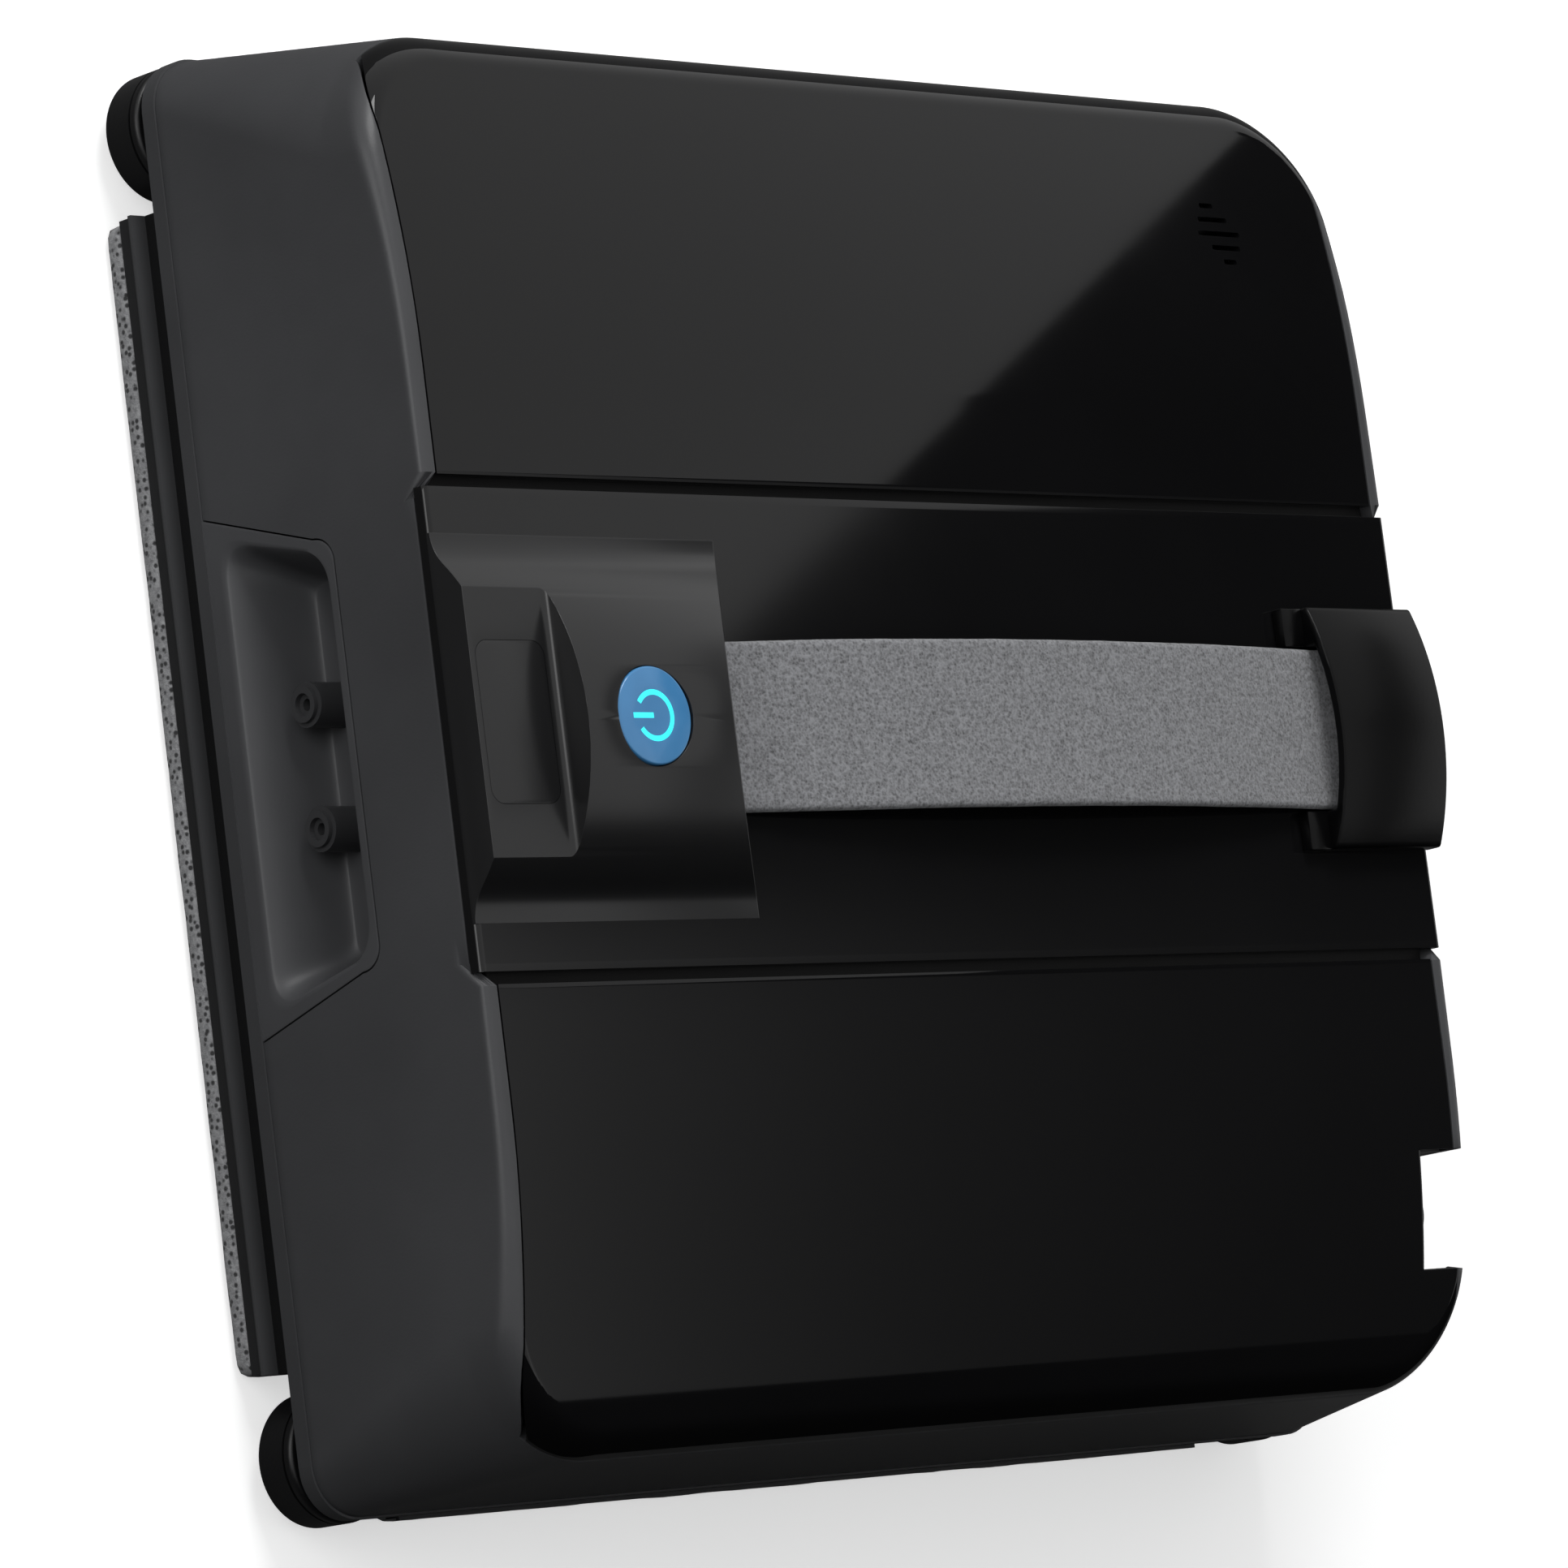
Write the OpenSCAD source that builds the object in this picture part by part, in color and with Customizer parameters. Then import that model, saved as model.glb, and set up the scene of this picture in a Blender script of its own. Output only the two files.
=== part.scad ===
// Window cleaning robot, lying on its cleaning pad.
// Z is up, away from the glass; X runs along the carrying strap; the pad rests at z = 0.

/* [Body] */
// Width of the square body at its lower rim
body_w = 239.2; // [236:0.2:250]
// Height of the flat face above the glass
face_z = 63.6; // [62:0.1:80]
// Lean of the side walls, degrees
wall_lean = 5.9; // [3:0.1:7]
// Plan radius of the corners at the rim
rim_corner_r = 9; // [5:0.5:14]
// Plan radius of the corners at the face
face_corner_r = 22; // [16:0.5:28]
// Drop of the face where it rolls over at its two ends
roll_drop = 8; // [5:0.5:9]
// Wall thickness of the side shell
shell_t = 3; // [2.6:0.1:4]
// Thickness of the face panels
panel_t = 2.2; // [1.6:0.1:2.4]
// Width of the band between the two grooves, centre to centre
band_w = 79.5; // [76:0.5:84]
// Width of a groove in the face
groove_w = 2; // [1:0.1:3]

/* [Cleaning pad] */
// Width of the square cleaning pad
pad_w = 240; // [238:0.5:250]
// Thickness of the cleaning pad
pad_t = 3.8; // [3:0.1:6]
// Side of the square notch at each pad corner
pad_notch = 25; // [24:0.5:30]
// Reach of the pad ring inwards from the edge of the body
pad_ring_w = 34; // [20:0.5:36]
// Thickness of the plate that carries the pad
plate_t = 3.6; // [3:0.1:5]

/* [Base tray] */
// Thickness of the tray floor
floor_t = 2.5; // [2:0.1:4]
// Height of the dark undercut between the plate and the rim
undercut_h = 5.3; // [4:0.1:7]
// Depth of that undercut
undercut_d = 2.6; // [1:0.1:4]
// Height of the tray rim
rim_h = 3; // [2:0.1:5]

/* [Corner rollers] */
// Radius of a corner roller
roller_r = 10.9; // [9:0.1:11.5]
// Height of a corner roller
roller_h = 8.4; // [6:0.1:8.6]
// Distance from the body middle to a roller axis
roller_at = 109; // [107:0.5:112]

/* [Console and strap] */
// Height of the console arch above the glass
console_z = 75.6; // [74:0.1:80]
// Radius of the console arch
console_r = 38.5; // [36:0.5:42]
// Height of the flat ledge of the console
ledge_z = 69; // [68:0.1:71]
// X of the wall between ledge and arch
ledge_x = -96.2; // [-98:0.1:-94]
// X where the console end meets the face
console_end_x = -52.5; // [-54:0.1:-48]
// Diameter of the power button
button_d = 16; // [12:0.5:18]
// Travel of the power button
button_travel = 1; // [0.5:0.1:1.5]
// Width of the carrying strap
strap_w = 28.4; // [20:0.2:29]
// Thickness of the carrying strap
strap_t = 2; // [1:0.1:2.2]
// Rise of the strap in its middle
strap_bow = 5.4; // [4:0.1:8]
// Width of the strap clip
clip_w = 42.8; // [40:0.2:50]
// Height of the clip arch above the glass
clip_z = 72.1; // [71:0.1:75]

/* [Drive] */
// Distance from the body middle to a drive belt's middle
track_y = 58; // [57:0.5:60]
// Distance between the two wheels of a belt
wheel_gap = 104; // [100:1:106]
// Outer radius of a belt at its wheels
belt_r = 14; // [13.6:0.1:14.2]
// Width of a belt
belt_w = 18; // [14:0.5:18]
// Teeth of a drive gear
gear_teeth = 24; // [20:4:24]
// Teeth of a motor pinion
pinion_teeth = 12; // [10:2:12]
// Module of the gears
gear_module = 0.9; // [0.8:0.05:0.9]

/* [Fan] */
// Radius of the impeller
impeller_r = 28; // [24:0.5:28.5]
// Height of the impeller blades
blade_h = 10; // [6:0.5:10]
// Number of impeller blades
blade_count = 9; // [6:1:12]
// Radius of the fan motor
fan_motor_r = 17; // [12:0.5:20]

/* [Hidden] */

// General clearances and cuts
over = 1;
fit_gap = 0.05;
seat_gap = 0.1;
part_gap = 0.25;
soft_gap = 0.35;
sliver = 0.02;
far = 400;
hull_fn = 32;
round_fn = 64;

// Places that move with the edge of the body
body_base_w = 239.2;
edge_shift = (body_w - body_base_w) / 2;
pad_past = 0.4;
notch_corner = body_w / 2 + pad_past - pad_notch;
ring_in = body_w / 2 + pad_past - pad_ring_w;
roller_x = roller_at + edge_shift;
ledge_end_x = ledge_x - edge_shift;
console_foot_x = console_end_x - edge_shift;

// Levels
plate_z = pad_t;
tray_z = plate_z + plate_t;
floor_top = tray_z + floor_t;
rim_z = tray_z + undercut_h;
rim_top = rim_z + rim_h;
roll_start_share = 0.48;
edge_r_start = 0.8;
edge_r_mid = 1.4;
edge_r_side = 1.8;
edge_r_corner = 3;
edge_r_end = 5;
edge_r_least = 0.4;
wall_top_z = face_z - roll_drop - edge_r_end;
panel_end_rise = 1.4;
panel_end_z = wall_top_z + panel_end_rise;
wrap_drop = 2.2;
wrap_z = face_z - wrap_drop;
band_half = (band_w - groove_w) / 2;
panel_start = (band_w + groove_w) / 2;

// Half width of the leaning walls at a height
function half_at(z) = body_w / 2 - (z - rim_z) * tan(wall_lean);
// Height of the face at a distance from the middle
function face_at(y) = let (start = roll_start_share * body_w / 2, run = half_at(wall_top_z) - start)
    face_z - roll_drop * pow(max(0, (abs(y) - start) / run), 2);

// Rounded rectangle centred on the origin
module rounded(w, d, r, fn = round_fn) {
    square([w - 2 * r, d], center = true);
    square([w, d - 2 * r], center = true);
    for (sx = [-1, 1], sy = [-1, 1])
        translate([sx * (w / 2 - r), sy * (d / 2 - r)]) circle(r, $fn = fn);
}

// Rounded box standing on z0
module slab(w, d, r, z0, z1, fn = round_fn) {
    translate([0, 0, z0]) linear_extrude(z1 - z0) rounded(w, d, r, fn);
}

// Box from one corner to the other
module block(a, b) {
    translate(a) cube(b - a);
}

// Both halves of something mirrored across X
module both_y() {
    children();
    mirror([0, 1, 0]) children();
}

// Body form, drawn in from its outer surface by a distance
mid_share = 0.52;
side_share = 0.68;
corner_angles = [22.5, 45, 67.5, 90];
module body_form(inset) {
    wall_half = half_at(wall_top_z) - inset;
    plan_r = face_corner_r - inset;
    corner = wall_half - plan_r;
    rows = [[band_w / 2, edge_r_start], [mid_share * wall_half, edge_r_mid],
        [side_share * wall_half, edge_r_side], [corner, edge_r_corner]];
    hull() {
        slab(2 * (half_at(rim_top) - inset), 2 * (half_at(rim_top) - inset), rim_corner_r, rim_top,
            rim_top + sliver, hull_fn);
        slab(2 * wall_half, 2 * wall_half, plan_r, wall_top_z, wall_top_z + sliver, hull_fn);
        for (row = rows, sx = [-1, 1], sy = [-1, 1]) {
            r = max(edge_r_least, row[1] - inset / 2);
            z = face_at(row[0] + inset) - inset - r;
            translate([sx * (half_at(z) - inset - r), sy * row[0], z]) sphere(r, $fn = 16);
        }
        for (a = corner_angles, sx = [-1, 1], sy = [-1, 1]) {
            r = max(edge_r_least, edge_r_corner + (edge_r_end - edge_r_corner) * a / 90 - inset / 2);
            y = corner + (plan_r - r) * sin(a);
            z = face_at(y + r + inset) - inset - r;
            translate([sx * (corner + (plan_r - r) * cos(a)), sy * y, z]) sphere(r, $fn = 16);
        }
    }
}

// Plan of a face panel, drawn in or out by a distance
edge_band = 3.2;
panel_corner_r = 18;
panel_past_end = 6;
module panel_plan(grow) {
    half = half_at(face_z) - edge_band + grow;
    far_y = half_at(panel_end_z) + panel_past_end;
    near_y = panel_start - grow;
    r = panel_corner_r;
    difference() {
        translate([-half, near_y]) square([2 * half, far_y - near_y]);
        for (sx = [-1, 1]) translate([sx * (half - r), half_at(panel_end_z) + edge_band / 2 - r])
            difference() {
                translate([sx > 0 ? 0 : -far, 0]) square([far, far]);
                circle(r, $fn = round_fn);
            }
    }
}

// Space that a face panel takes from the shell
module panel_space(grow) {
    translate([0, 0, panel_end_z - grow]) linear_extrude(far) panel_plan(grow);
}

// Space that the centre panel takes from the shell
module band_space(grow) {
    block([-far, -band_half - grow, wrap_z - grow], [far, band_half + grow, far]);
}

// Cable notch in the right edge of the lower panel
notch_in = 17.3;
notch_side = 24.3;
notch_w = 20.9;
notch_x = body_w / 2 - notch_in;
notch_y0 = notch_side - body_w / 2;
notch_y1 = notch_y0 + notch_w;
notch_z = 45;
pocket_t = 2;
module notch_box(grow) {
    block([notch_x - grow, notch_y0 - grow, notch_z - grow], [far, notch_y1 + grow, far]);
}

// Outline of the nozzle bay on the left wall, in Y and Z
bay_foot = 42.5;
bay_head = 34.8;
bay_top = 42.9;
bay_r = 4;
module bay_plan(grow) {
    neck = bay_top - bay_r;
    polygon([[-bay_foot - grow, rim_top - grow], [bay_foot + grow, rim_top - grow],
        [bay_head + grow, neck], [-bay_head - grow, neck]]);
    square_half = bay_head - bay_r;
    translate([-square_half, neck - over]) square([2 * square_half, bay_r + over + grow]);
    for (s = [-1, 1]) translate([s * (bay_head - bay_r), neck]) circle(bay_r + grow, $fn = round_fn);
}
module along_x(x0, x1) {
    translate([x0, 0, 0]) rotate([90, 0, 90]) linear_extrude(x1 - x0) children();
}

// Cleaning pad: a square microfibre ring with notched corners
pad_inner_r = 14;
module ring_plan(w, corner, r) {
    difference() {
        square([w, w], center = true);
        rounded(2 * ring_in, 2 * ring_in, r);
        for (sx = [-1, 1], sy = [-1, 1])
            translate([sx * (corner + far / 2), sy * (corner + far / 2)]) square([far, far], center = true);
    }
}
module cleaning_pad() {
    color([0.42, 0.43, 0.45]) linear_extrude(pad_t - sliver)
        ring_plan(pad_w, notch_corner, pad_inner_r);
}

// Hook strips that hold the pad, let into the plate
strip_share = 0.353;
strip_t = 0.8;
strip_end = 25;
module strips(grow) {
    strip_l = 2 * (notch_corner - strip_end);
    strip_w = strip_share * (pad_w / 2 - ring_in);
    for (a = [0:90:270]) rotate([0, 0, a])
        translate([0, (pad_w / 2 + ring_in) / 2, plate_z - grow])
            linear_extrude(strip_t + 2 * grow)
                square([strip_l + 2 * grow, strip_w + 2 * grow], center = true);
}
module hook_strips() {
    color([0.12, 0.12, 0.13]) strips(0);
}

// Plate that carries the pad, with a raised bead along its upper edge
bead_d = 0.5;
bead_h = 0.8;
module pad_plate() {
    color([0.14, 0.14, 0.15]) difference() {
        union() {
            translate([0, 0, plate_z]) linear_extrude(plate_t - sliver)
                ring_plan(pad_w - 2 * bead_d, notch_corner - bead_d / 2, pad_inner_r);
            translate([0, 0, tray_z - sliver - bead_h]) linear_extrude(bead_h)
                ring_plan(pad_w, notch_corner, pad_inner_r);
        }
        strips(seat_gap);
    }
}

// Track windows, intake slots and roller wells of the tray
gear_t = 4;
gear_off = 1.5;
frame_t = 2.4;
gear_y1 = track_y - belt_w / 2 - gear_off;
gear_y0 = gear_y1 - gear_t;
frame_in = gear_y0 - part_gap;
frame_out = track_y + belt_w / 2 + part_gap;
window_half_x = wheel_gap / 2 + belt_r + over;
intake_r0 = 7;
intake_r1 = 22;
slot_arc = 24;
well_gap = 0.6;
roller_z = 3;
well_top = roller_z + roller_h + well_gap;
roof_t = 2;
screw_r = 1.5;
screw_head_r = 3.2;
screw_head_h = 1.4;
leg_r = 4;
leg_clear = 8.3;
leg_side = 2.75;
leg_x = wheel_gap / 2 + (gear_teeth / 2 + 1) * gear_module + leg_r + leg_clear;
leg_y = frame_in + leg_side;
pin_r = 2;
foot_in = 6;
foot_x = wheel_gap / 2 - foot_in;
foot_d = 6.4;
sensor_r = 3.4;
sensor_off = 10;
sensor_side = 9.75;
sensor_x = window_half_x + sensor_off;
sensor_y = frame_out + sensor_side;
screw_places = [[foot_x, frame_in - frame_t - foot_d / 2], [-foot_x, frame_in - frame_t - foot_d / 2],
    [leg_x, leg_y]];
tray_wall = 2.4;
skirt_half = body_w / 2 - undercut_d;
module corner_cuts(grow) {
    c = notch_corner + grow;
    for (sx = [-1, 1], sy = [-1, 1])
        translate([sx * (c + far / 2), sy * (c + far / 2), (well_top - grow) / 2])
            cube([far, far, well_top - grow], center = true);
}
module base_tray() {
    color([0.1, 0.1, 0.11]) difference() {
        union() {
            slab(2 * skirt_half, 2 * skirt_half, rim_corner_r, tray_z, rim_z);
            slab(body_w, body_w, rim_corner_r, rim_z, rim_top);
        }
        difference() {
            slab(2 * (skirt_half - tray_wall), 2 * (skirt_half - tray_wall), rim_corner_r - tray_wall,
                floor_top, rim_top + over);
            corner_cuts(-roof_t);
        }
        corner_cuts(0);
        for (sx = [-1, 1], sy = [-1, 1])
            translate([sx * roller_x, sy * roller_x, -over])
                cylinder(h = rim_top + 2 * over, r = pin_r + seat_gap, $fn = round_fn);
        both_y()
            block([-window_half_x, frame_in, -over], [window_half_x, frame_out, floor_top + over]);
        for (a = [0:45:315]) rotate([0, 0, a]) translate([0, 0, -over])
            linear_extrude(floor_top + 2 * over) intersection() {
                difference() {
                    circle(intake_r1, $fn = round_fn);
                    circle(intake_r0, $fn = round_fn);
                }
                polygon([[0, 0], [far, 0], far * [cos(slot_arc), sin(slot_arc)]]);
            }
        for (sy = [-1, 1], at = screw_places) translate([at[0], sy * at[1], 0]) {
            cylinder(h = floor_top + over, r = screw_r + seat_gap, $fn = round_fn);
            cylinder(h = tray_z + screw_head_h + seat_gap, r = screw_head_r + seat_gap, $fn = round_fn);
        }
        for (sx = [-1, 1], sy = [-1, 1]) translate([sx * sensor_x, sy * sensor_y, 0])
            cylinder(h = floor_top + over, r = sensor_r + seat_gap, $fn = round_fn);
    }
}

// Side shell: four leaning walls with a lip that the face panels rest on
lip_t = 2;
lip_w = 4;
lip_drop = 4;
module side_shell() {
    color([0.16, 0.165, 0.17]) difference() {
        union() {
            difference() {
                body_form(0);
                body_form(shell_t);
                panel_space(part_gap);
                mirror([0, 1, 0]) panel_space(part_gap);
                band_space(seat_gap);
            }
            difference() {
                body_form(panel_t + seat_gap);
                body_form(panel_t + seat_gap + lip_t);
                both_y() panel_space(-lip_w);
                block([-far, -far, -far], [far, far, panel_end_z - lip_drop]);
                notch_box(pocket_t + seat_gap);
                translate([speaker_x, speaker_y, 0])
                    cylinder(h = far, r = speaker_r + speaker_ring_t + 2 * part_gap, $fn = round_fn);
            }
        }
        block([-far, -far, -far], [far, far, rim_top + seat_gap]);
        block([-half_at(face_z) + lip_w, -band_half + lip_w, wrap_z - 2 * lip_w],
            [half_at(face_z) - lip_w, band_half - lip_w, far]);
        both_y() block([-far, band_half - seat_gap, wrap_z - seat_gap], [far, panel_start + seat_gap, far]);
        notch_box(0);
        along_x(-far, -half_at(rim_top) + 2 * shell_t) bay_plan(part_gap);
        grille_window(part_gap);
    }
}

// Face panels: gloss covers that carry the face over its rolled ends
slot_t = 0.9;
slot_pitch = 2.6;
slot_rows = [[-1.55, 3.4], [-0.85, 7.4], [0, 10.6], [1, 7.2], [1.25, 3.2]];
speaker_in = 36.1;
speaker_side = 30.1;
speaker_x = body_w / 2 - speaker_in;
speaker_y = body_w / 2 - speaker_side;
speaker_r = 14;
speaker_h = 6;
speaker_ring_t = 1.6;
speaker_ring_h = 4;
speaker_top = face_at(speaker_y + speaker_r) - panel_t - speaker_ring_t;
module face_panel() {
    difference() {
        intersection() {
            body_form(0);
            panel_space(0);
        }
        body_form(panel_t);
    }
}
module upper_panel() {
    color([0.09, 0.09, 0.095]) difference() {
        union() {
            face_panel();
            intersection() {
                body_form(panel_t / 2);
                translate([speaker_x, speaker_y, speaker_top - speaker_ring_h]) difference() {
                    cylinder(h = far, r = speaker_r + part_gap + speaker_ring_t, $fn = round_fn);
                    translate([0, 0, -over])
                        cylinder(h = far, r = speaker_r + part_gap, $fn = round_fn);
                }
            }
        }
        for (i = [0 : len(slot_rows) - 1]) {
            y = speaker_y + (2 - i) * slot_pitch;
            x = speaker_x + slot_rows[i][0];
            block([x - slot_rows[i][1] / 2, y - slot_t / 2, speaker_top],
                [x + slot_rows[i][1] / 2, y + slot_t / 2, far]);
        }
    }
}
module lower_panel() {
    color([0.07, 0.07, 0.075]) difference() {
        mirror([0, 1, 0]) face_panel();
        notch_box(0);
    }
}

// Console: an arch on coved feet, a flat ledge at its left and a slanted right end
cove_r = 8;
arch_c = console_z - console_r;
cove_y = sqrt(pow(console_r + cove_r, 2) - pow(face_z + cove_r - arch_c, 2));
cove_top = arch_c + (face_z + cove_r - arch_c) * console_r / (console_r + cove_r);
ledge_fillet = 1.3;
module console_profile(inset) {
    base = face_z - panel_t - over;
    intersection() {
        translate([0, arch_c]) circle(console_r - inset, $fn = 2 * round_fn);
        translate([-far, base]) square([2 * far, far]);
    }
    if (inset == 0) difference() {
        translate([-cove_y, base]) square([2 * cove_y, cove_top - base]);
        for (s = [-1, 1]) translate([s * cove_y, face_z + cove_r]) circle(cove_r, $fn = 2 * round_fn);
    }
}
module console_side(inset) {
    base = face_z - panel_t - over;
    top = console_z + over;
    slant = inset * sqrt(2);
    polygon([[-half_at(base) + inset, base], [-half_at(ledge_z) + inset, ledge_z - inset],
        [ledge_end_x + inset - ledge_fillet, ledge_z - inset],
        [ledge_end_x + inset, ledge_z - inset + ledge_fillet],
        [ledge_end_x + inset, top], [console_foot_x - slant - (top - face_z), top],
        [console_foot_x - slant + face_z - base, base]]);
}
module console_form(inset) {
    intersection() {
        along_x(-far, far) console_profile(inset);
        translate([0, far, 0]) rotate([90, 0, 0]) linear_extrude(2 * far) console_side(inset);
    }
}

// Centre panel with the console, its button hole, filler mouth and strap slot
button_in = 14.7;
button_x = ledge_end_x + button_in;
button_gap = 0.15;
cap_w = 14.6;
cap_d = 26;
cap_r = 2.5;
cap_t = 1.3;
cap_x = (ledge_end_x - half_at(ledge_z)) / 2 - part_gap;
mouth_in = 1.6;
strap_z = face_z + soft_gap + seat_gap;
module centre_panel() {
    color([0.07, 0.07, 0.075]) difference() {
        union() {
            difference() {
                intersection() {
                    body_form(0);
                    band_space(0);
                }
                body_form(panel_t);
            }
            intersection() {
                console_form(0);
                band_space(0);
            }
        }
        console_form(panel_t);
        translate([button_x, 0, ledge_z - over])
            cylinder(h = far, r = button_d / 2 + button_gap, $fn = round_fn);
        translate([cap_x, 0, 0]) {
            slab(cap_w + 2 * seat_gap, cap_d + 2 * seat_gap, cap_r, ledge_z - cap_t - seat_gap, far);
            slab(cap_w - 2 * mouth_in, cap_d - 2 * mouth_in, cap_r, ledge_z - 2 * panel_t, far);
        }
        block([console_foot_x - cove_r - panel_t, -strap_w / 2 - soft_gap, strap_z - soft_gap],
            [console_foot_x + over, strap_w / 2 + soft_gap, strap_z + strap_t + soft_gap]);
    }
}

// Strap clip: an arched block with two low strips beside the strap
clip_in = 33.3;
clip_x0 = body_w / 2 - clip_in;
clip_strip_l = 5.1;
clip_strip_h = 2.4;
clip_side_h = 3.7;
clip_floor = face_z + fit_gap;
clip_rise = clip_z - face_z - clip_side_h;
clip_r = (pow(clip_w / 2, 2) + pow(clip_rise, 2)) / (2 * clip_rise);
clip_t = 1.8;
clip_hollow_l = 19.7;
clip_hollow_x = clip_x0 + clip_hollow_l;
hold_r = 0.9;
eye_r = 1.9;
clip_pin_off = 10.7;
clip_pin_x = clip_x0 + clip_pin_off;
clip_pin_z = face_z + soft_gap + seat_gap + eye_r;
clip_pin_in = 3.6;
module clip_profile(inset) {
    intersection() {
        translate([0, clip_z - clip_r]) circle(clip_r - inset, $fn = 2 * round_fn);
        translate([-clip_w / 2 + inset, clip_floor]) square([clip_w - 2 * inset, clip_z]);
    }
}
module strap_clip() {
    slot_half = strap_w / 2 + soft_gap;
    color([0.06, 0.06, 0.065]) difference() {
        union() {
            intersection() {
                along_x(clip_x0, far) clip_profile(0);
                translate([0, far, 0]) rotate([90, 0, 0]) linear_extrude(2 * far)
                    polygon([[0, clip_floor], [half_at(clip_floor), clip_floor],
                        [half_at(clip_z + over), clip_z + over], [0, clip_z + over]]);
            }
            both_y() block([clip_x0 - clip_strip_l, slot_half, clip_floor],
                [clip_x0 + over, clip_w / 2, face_z + clip_strip_h]);
        }
        intersection() {
            along_x(clip_x0 - over, clip_hollow_x) clip_profile(clip_t);
            block([0, -slot_half, clip_floor - over], [far, slot_half, far]);
        }
        block([clip_x0 - over, -slot_half, clip_floor - over],
            [clip_hollow_x, slot_half, clip_floor + over]);
        pin_along_y(clip_pin_x, clip_pin_z, slot_half + clip_pin_in, hold_r + fit_gap);
        pin_along_y(clip_pin_x, clip_pin_z, slot_half, eye_r + soft_gap);
    }
}

// Pins that the strap ends loop round
console_pin_in = 15.5;
console_pin_x = console_foot_x - console_pin_in;
console_pin_z = strap_z + strap_t / 2;
console_pin_half = sqrt(pow(console_r - panel_t, 2) - pow(console_pin_z + hold_r - arch_c, 2)) - part_gap;
module pin_along_y(x, z, half, r) {
    translate([x, half, z]) rotate([90, 0, 0]) cylinder(h = 2 * half, r = r, $fn = round_fn);
}
module strap_pins() {
    color([0.6, 0.6, 0.62]) {
        pin_along_y(console_pin_x, console_pin_z, console_pin_half, hold_r);
        pin_along_y(clip_pin_x, clip_pin_z, strap_w / 2 + soft_gap + clip_pin_in - seat_gap, hold_r);
    }
}

// Carrying strap: a bowed band with an eye at each end
strap_x0 = console_foot_x - over;
strap_x1 = clip_x0 + over;
strap_mid = (strap_x0 + strap_x1) / 2;
strap_half = (strap_x1 - strap_x0) / 2;
strap_r = (pow(strap_half, 2) + pow(strap_bow, 2)) / (2 * strap_bow);
module handle_strap() {
    color([0.5, 0.51, 0.53]) difference() {
        translate([0, strap_w / 2, 0]) rotate([90, 0, 0]) linear_extrude(strap_w) {
            intersection() {
                translate([strap_mid, strap_z + strap_bow - strap_r]) difference() {
                    circle(strap_r + strap_t, $fn = 4 * round_fn);
                    circle(strap_r, $fn = 4 * round_fn);
                }
                translate([strap_x0, 0]) square([2 * strap_half, far]);
            }
            translate([console_pin_x, strap_z]) square([strap_x0 - console_pin_x + over, strap_t]);
            translate([strap_x1 - over, strap_z]) square([clip_pin_x - strap_x1 + over, strap_t]);
            translate([console_pin_x, console_pin_z]) circle(eye_r, $fn = round_fn);
            translate([clip_pin_x, clip_pin_z]) circle(eye_r, $fn = round_fn);
        }
        pin_along_y(console_pin_x, console_pin_z, far, hold_r + soft_gap);
        pin_along_y(clip_pin_x, clip_pin_z, far, hold_r + soft_gap);
    }
}

// Water tank with its filler neck, and the cap that lifts out of the ledge
tank_in = 9.6;
tank_l = 44;
tank_x0 = tank_in - body_w / 2;
tank_x1 = tank_x0 + tank_l;
tank_half_y = 33;
tank_z0 = bay_top + part_gap + seat_gap;
tank_z1 = wrap_z - part_gap - lip_t / 4;
tank_t = 1.6;
tank_r = 3;
neck_w = 9;
neck_d = 22;
neck_r = 2.4;
neck_x = cap_x;
neck_t = 1.3;
plug_l = 5;
plug_gap = 0.2;
tank_mid = (tank_x0 + tank_x1) / 2;
module water_tank() {
    color([0.75, 0.82, 0.88, 0.6]) difference() {
        union() {
            translate([tank_mid, 0, 0]) slab(tank_x1 - tank_x0, 2 * tank_half_y, tank_r, tank_z0, tank_z1);
            translate([neck_x, 0, 0])
                slab(neck_w, neck_d, neck_r, tank_z1 - over, ledge_z - panel_t - seat_gap);
            translate([feed_x, 0, tank_z0 - pump_port_l])
                cylinder(h = pump_port_l + over, r = pump_port_r, $fn = round_fn);
        }
        translate([tank_mid, 0, 0]) slab(tank_x1 - tank_x0 - 2 * tank_t, 2 * (tank_half_y - tank_t),
            tank_r - tank_t / 2, tank_z0 + tank_t, tank_z1 - tank_t);
        translate([neck_x, 0, 0]) slab(neck_w - 2 * neck_t, neck_d - 2 * neck_t, neck_r - neck_t / 2,
            tank_z1 - 2 * tank_t, ledge_z);
    }
}
module filler_cap() {
    plug_z = ledge_z - cap_t;
    color([0.08, 0.08, 0.085]) translate([cap_x, 0, 0]) {
        slab(cap_w, cap_d, cap_r, plug_z, ledge_z);
        slab(neck_w - 2 * (neck_t + plug_gap), neck_d - 2 * (neck_t + plug_gap), neck_r - neck_t,
            plug_z - plug_l, plug_z);
    }
}

// Switch under the button, on its little board
switch_w = 6.2;
switch_h = 2.6;
plunger_r = 1.75;
plunger_h = 0.5;
board_t = 1.6;
switch_board_w = 14;
switch_board_d = 22;
switch_top = tank_z1 + seat_gap + board_t + switch_h + plunger_h;
module button_switch() {
    color([0.1, 0.3, 0.15]) translate([button_x, 0, tank_z1 + seat_gap]) {
        translate([-switch_board_w / 2, -switch_board_d / 2, 0])
            cube([switch_board_w, switch_board_d, board_t]);
        translate([-switch_w / 2, -switch_w / 2, 0]) cube([switch_w, switch_w, board_t + switch_h]);
        cylinder(h = board_t + switch_h + plunger_h, r = plunger_r, $fn = round_fn);
    }
}

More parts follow.
